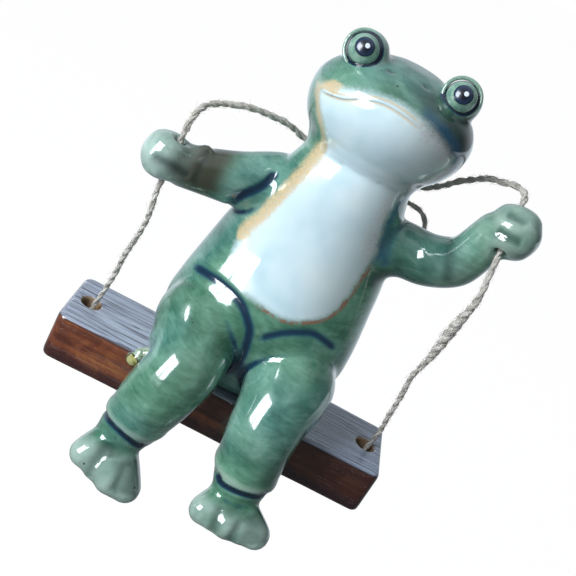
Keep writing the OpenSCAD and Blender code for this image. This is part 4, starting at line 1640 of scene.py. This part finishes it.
        # Bends of the skin, wide and narrow: grooves are positive
        near = relax(frog, points, 8)
        wide = relax(frog, near, 60)
        bend = ((near - points) * normals).sum(1) * 3.0 + ((wide - near) * normals).sum(1)
        bend = relax(frog, bend[:, None], 4)[:, 0]
        pool = self.pools(points, bend)
        domes = np.min([distance(points, lid[:3]) - lid[3] for lid in self.lids], axis=0)
        pale_lids = 0.8 * rises(domes, 1.6, 0.3) * (1 - rises(pool, 0.1, 0.5))
        # The white front, and how far inside its border a point is
        belly = lines.belly
        inside, _ = line_distance(front, [*belly, belly[0]])
        inside = np.where(inside_ring(front, belly), inside, -inside)
        mouth_gap, mouth_side = line_distance(front, lines.mouth)
        start, end = lines.mouth[0, 0], lines.mouth[-1, 0]
        mouth = rises(x, start - 1, start + 2) * rises(x, end + 2, end - 5) * rises(y, -8.0, -12.0)
        left, rust, cool = (line_distance(front, line)[0] for line in (lines.warm, lines.rusty, lines.cool))
        corner = 0.75 * bell(distance(front, lines.mouth_corner), 2.2)
        hands = [rises(distance(points, fist.place), 13.0, 9.5) for fist in self.fists]
        ankles = rises(z, -20.0, -23.0) * rises(y, -22.0, -24.0)
        inward = x - self.fists[0].place[0]
        maps = {
            "pool": pool,
            "ridge": np.maximum(rises(bend, -0.35, -1.3), pale_lids),
            "belly_mm": np.minimum(inside, -3.0 - y),
            "mouth_mm": mouth_gap * mouth_side,
            "mouth": mouth,
            "warm": rises(left, 7.0, 3.0) * (1 - 0.4 * rises(z, 97.0, 102.0)) + corner,
            "rust": rises(rust, 7.0, 2.0),
            "cool": rises(cool, 8.0, 3.0),
            # Painted shade on the white, towards the right
            "shade": rises(x, 0.0, 24.0),
            # Dark green glaze, and painted shade on the frog's right side
            "deep": self.dark_glaze_and_shade(points, lines),
            "speck_mm": np.min([distance(points, speck) for speck in lines.specks], axis=0),
            # Pale thin glaze on the fists and ankles; the left fist is painted paler than the right, as
            # painted light on the lit fist and painted shade on the other
            "pale": np.max([1.2 * hands[0], 0.4 * hands[1], 0.75 * ankles], axis=0),
            "wrist": within(inward, (-4.0, 9.0, 14.0, 21.0)) * rises(z, 50.0, 55.0),
        }
        for name in GLAZE_MAPS:
            keep_values(frog, name, maps[name])

    def build(self) -> Thing:
        """Casts, carves and glazes the frog, and gives its object."""
        frog = self.cast()
        self.carve(frog)
        self.paint_maps(frog)
        parts = ("arm", "fist", "leg", "foot", "eyelid")
        limbs = [f"{side}_{part}" for side in ("left", "right") for part in parts]
        dress(frog, CeladonGlaze().make(), "ornament", "green_glaze", "torso", "head", *limbs)
        return frog


@dataclass
class Eye:
    """One eye: a clay ball with a painted pupil, in a rolled rim on the eyelid's dome."""

    side: str
    middle: Vector
    ball_r: float
    gaze: Vector
    rim_gap: float = 0.95
    rim_thick: float = 0.6
    # The pupil stands a little proud, and its white dot is up to the right of its middle
    bulge: float = 0.25
    dot_off: Row = (0.62, 0.0, 0.42)

    def ball(self, material: bpy.types.Material) -> None:
        """Turns the eyeball, with a slight bulge where the pupil is."""
        deselect()
        bpy.ops.mesh.primitive_uv_sphere_add(
            segments=64, ring_count=40, radius=self.ball_r * MM, location=at(*self.middle)
        )
        ball = join([bpy.context.object], f"{self.side}_eye_ball")
        points = points_of(ball)
        centre, gaze = np.array(self.middle), np.array(self.gaze)
        away = points - centre
        depth = away @ gaze
        out = np.linalg.norm(away - depth[:, None] * gaze, axis=1)
        out = np.where(depth > 0, out, 2 * self.ball_r - out)
        bulge = self.bulge * rises(out, 3.4, 2.4)
        set_points(ball, points + away / self.ball_r * bulge[:, None])
        keep_values(ball, "gaze_mm", out)
        keep_values(ball, "dot_mm", distance(points, centre + gaze * self.ball_r + self.dot_off))
        dress(ball, material, "ornament", "eye_glaze", f"{self.side}_eyeball")

    def rim(self, material: bpy.types.Material) -> None:
        """Rolls the rim round the eyeball, wider above it."""
        deselect()
        middle = self.middle + self.gaze * 0.2
        bpy.ops.mesh.primitive_torus_add(
            major_radius=(self.ball_r + self.rim_gap) * MM,
            minor_radius=self.rim_thick * MM,
            major_segments=72,
            minor_segments=18,
            location=at(*middle),
            rotation=self.gaze.to_track_quat("Z", "Y").to_euler(),
        )
        rim = join([bpy.context.object], f"{self.side}_eye_rim")
        points = points_of(rim)
        away = points - np.array(middle)
        lift = rises(away[:, 2], -3.0, 5.5)[:, None]
        set_points(rim, points + away * 0.05 * lift - np.array(self.gaze) * (0.9 - 0.5 * lift))
        # The rim is thin-glazed, and far from the belly, the mouth and the specks
        far = {"belly_mm": -30.0, "mouth_mm": 30.0, "speck_mm": 30.0, "ridge": 0.7}
        for name in GLAZE_MAPS:
            keep_values(rim, name, np.full(len(points), far.get(name, 0.0)))
        dress(rim, material, "ornament", "pale_glaze")


# Plank


@dataclass
class PlankSwing:
    """The swing's plank: a rounded ceramic block with two rope holes."""

    size: Row = (130.0, 34.0, PLANK_T)
    corner_r: float = 3.2
    edge_r: float = 1.5
    hole_r: float = 3.75
    voxel: float = 0.7

    def build(self) -> None:
        """Shapes, drills and glazes the plank."""
        deselect()
        bpy.ops.mesh.primitive_cube_add(size=1.0, location=at(0, 0, -PLANK_T / 2))
        plank = bpy.context.object
        plank.scale = Vector(self.size) * MM
        join([plank], "wood_look_plank")
        self.bevel(plank, True, self.corner_r, 8)
        self.bevel(plank, False, self.edge_r, 6)
        for side in (LEFT, RIGHT):
            drill(plank, (side * HOLE_OUT, 0, -PLANK_T / 2), self.hole_r, 2 * PLANK_T, 48)
        remesh(plank, self.voxel)
        points = relax(plank, points_of(plank), 4)
        x, y, _ = points.T
        wave = np.sin(x / 17.0 + 0.6) * 0.12 + np.sin(x / 6.3 + y / 9.0) * 0.06
        set_points(plank, points + normals_of(plank) * wave[:, None] - (0.0, 0.0, 0.02))
        dress(plank, PlankGlaze(self.size, self.hole_r).make(), "ornament", "brown_glaze", "plank")

    @staticmethod
    def bevel(plank: Thing, upright: bool, radius: float, segments: int) -> None:
        """Rounds the upright edges or the flat ones, by a radius in millimetres and in segments."""
        pick(plank)
        bpy.ops.object.mode_set(mode="EDIT")
        bpy.ops.mesh.select_mode(type="EDGE")
        bpy.ops.mesh.select_all(action="DESELECT")
        bpy.ops.object.mode_set(mode="OBJECT")
        points = plank.data.vertices
        for edge in plank.data.edges:
            a, b = (points[i].co for i in edge.vertices)
            edge.select = (abs(a.z - b.z) > 0.1 * MM) is upright
        bpy.ops.object.mode_set(mode="EDIT")
        bpy.ops.mesh.bevel(offset=radius * MM, segments=segments, affect="EDGES")
        bpy.ops.object.mode_set(mode="OBJECT")


@dataclass
class GlazePool:
    """Glaze that has pooled on the plank's front edge by the left thigh: a lump and a flat disc."""

    lump: Route = (
        (-32.5, -16.6, 0.6, 2.2), (-30.0, -16.2, 1.6, 2.6), (-28.0, -14.5, 2.2, 2.6),
        (-32.8, -17.6, -1.2, 2.2),
    )
    disc: Row = (-34.0, -17.4, -2.6)
    disc_size: Row = (2.9, 1.4, 2.9)

    def build(self) -> None:
        """Models and glazes the pool."""
        balls = [(*row, row[3], row[3]) for row in self.lump]
        pool = ball_chain("pooled_glaze", [np.array([*balls, (*self.disc, *self.disc_size)])])
        remesh(pool, 0.3)
        points = relax(pool, points_of(pool), 10)
        set_points(pool, points)
        keep_values(pool, "disc_mm", distance(points[:, [0, 2]], (self.disc[0], self.disc[2])))
        dress(pool, PoolGlaze().make(), "ornament", "pool_glaze", "glaze_pool")


def dress_slip() -> None:
    """Gives the thin bed of slip under the frog its finish."""
    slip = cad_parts["seat_slip"]
    slip.data.materials.clear()
    slip.data.materials.append(FiredSlip().make())


def main() -> None:
    """Builds the studio and every piece, and reports each."""
    logging.basicConfig(level=logging.INFO, format="%(name)s: %(message)s")
    Studio().build()
    Rigging().build()
    body = FrogBody()
    frog = body.build()
    eye_glaze = EyeGlaze().make()
    gaze = Vector((-0.1, -0.9, 0.42)).normalized()
    for side, (*middle, radius) in zip(("left", "right"), body.eyes):
        eye = Eye(side, Vector(middle), radius, gaze)
        eye.ball(eye_glaze)
        eye.rim(frog.data.materials[0])
    PlankSwing().build()
    GlazePool().build()
    dress_slip()


if __name__ == "__main__":
    main()
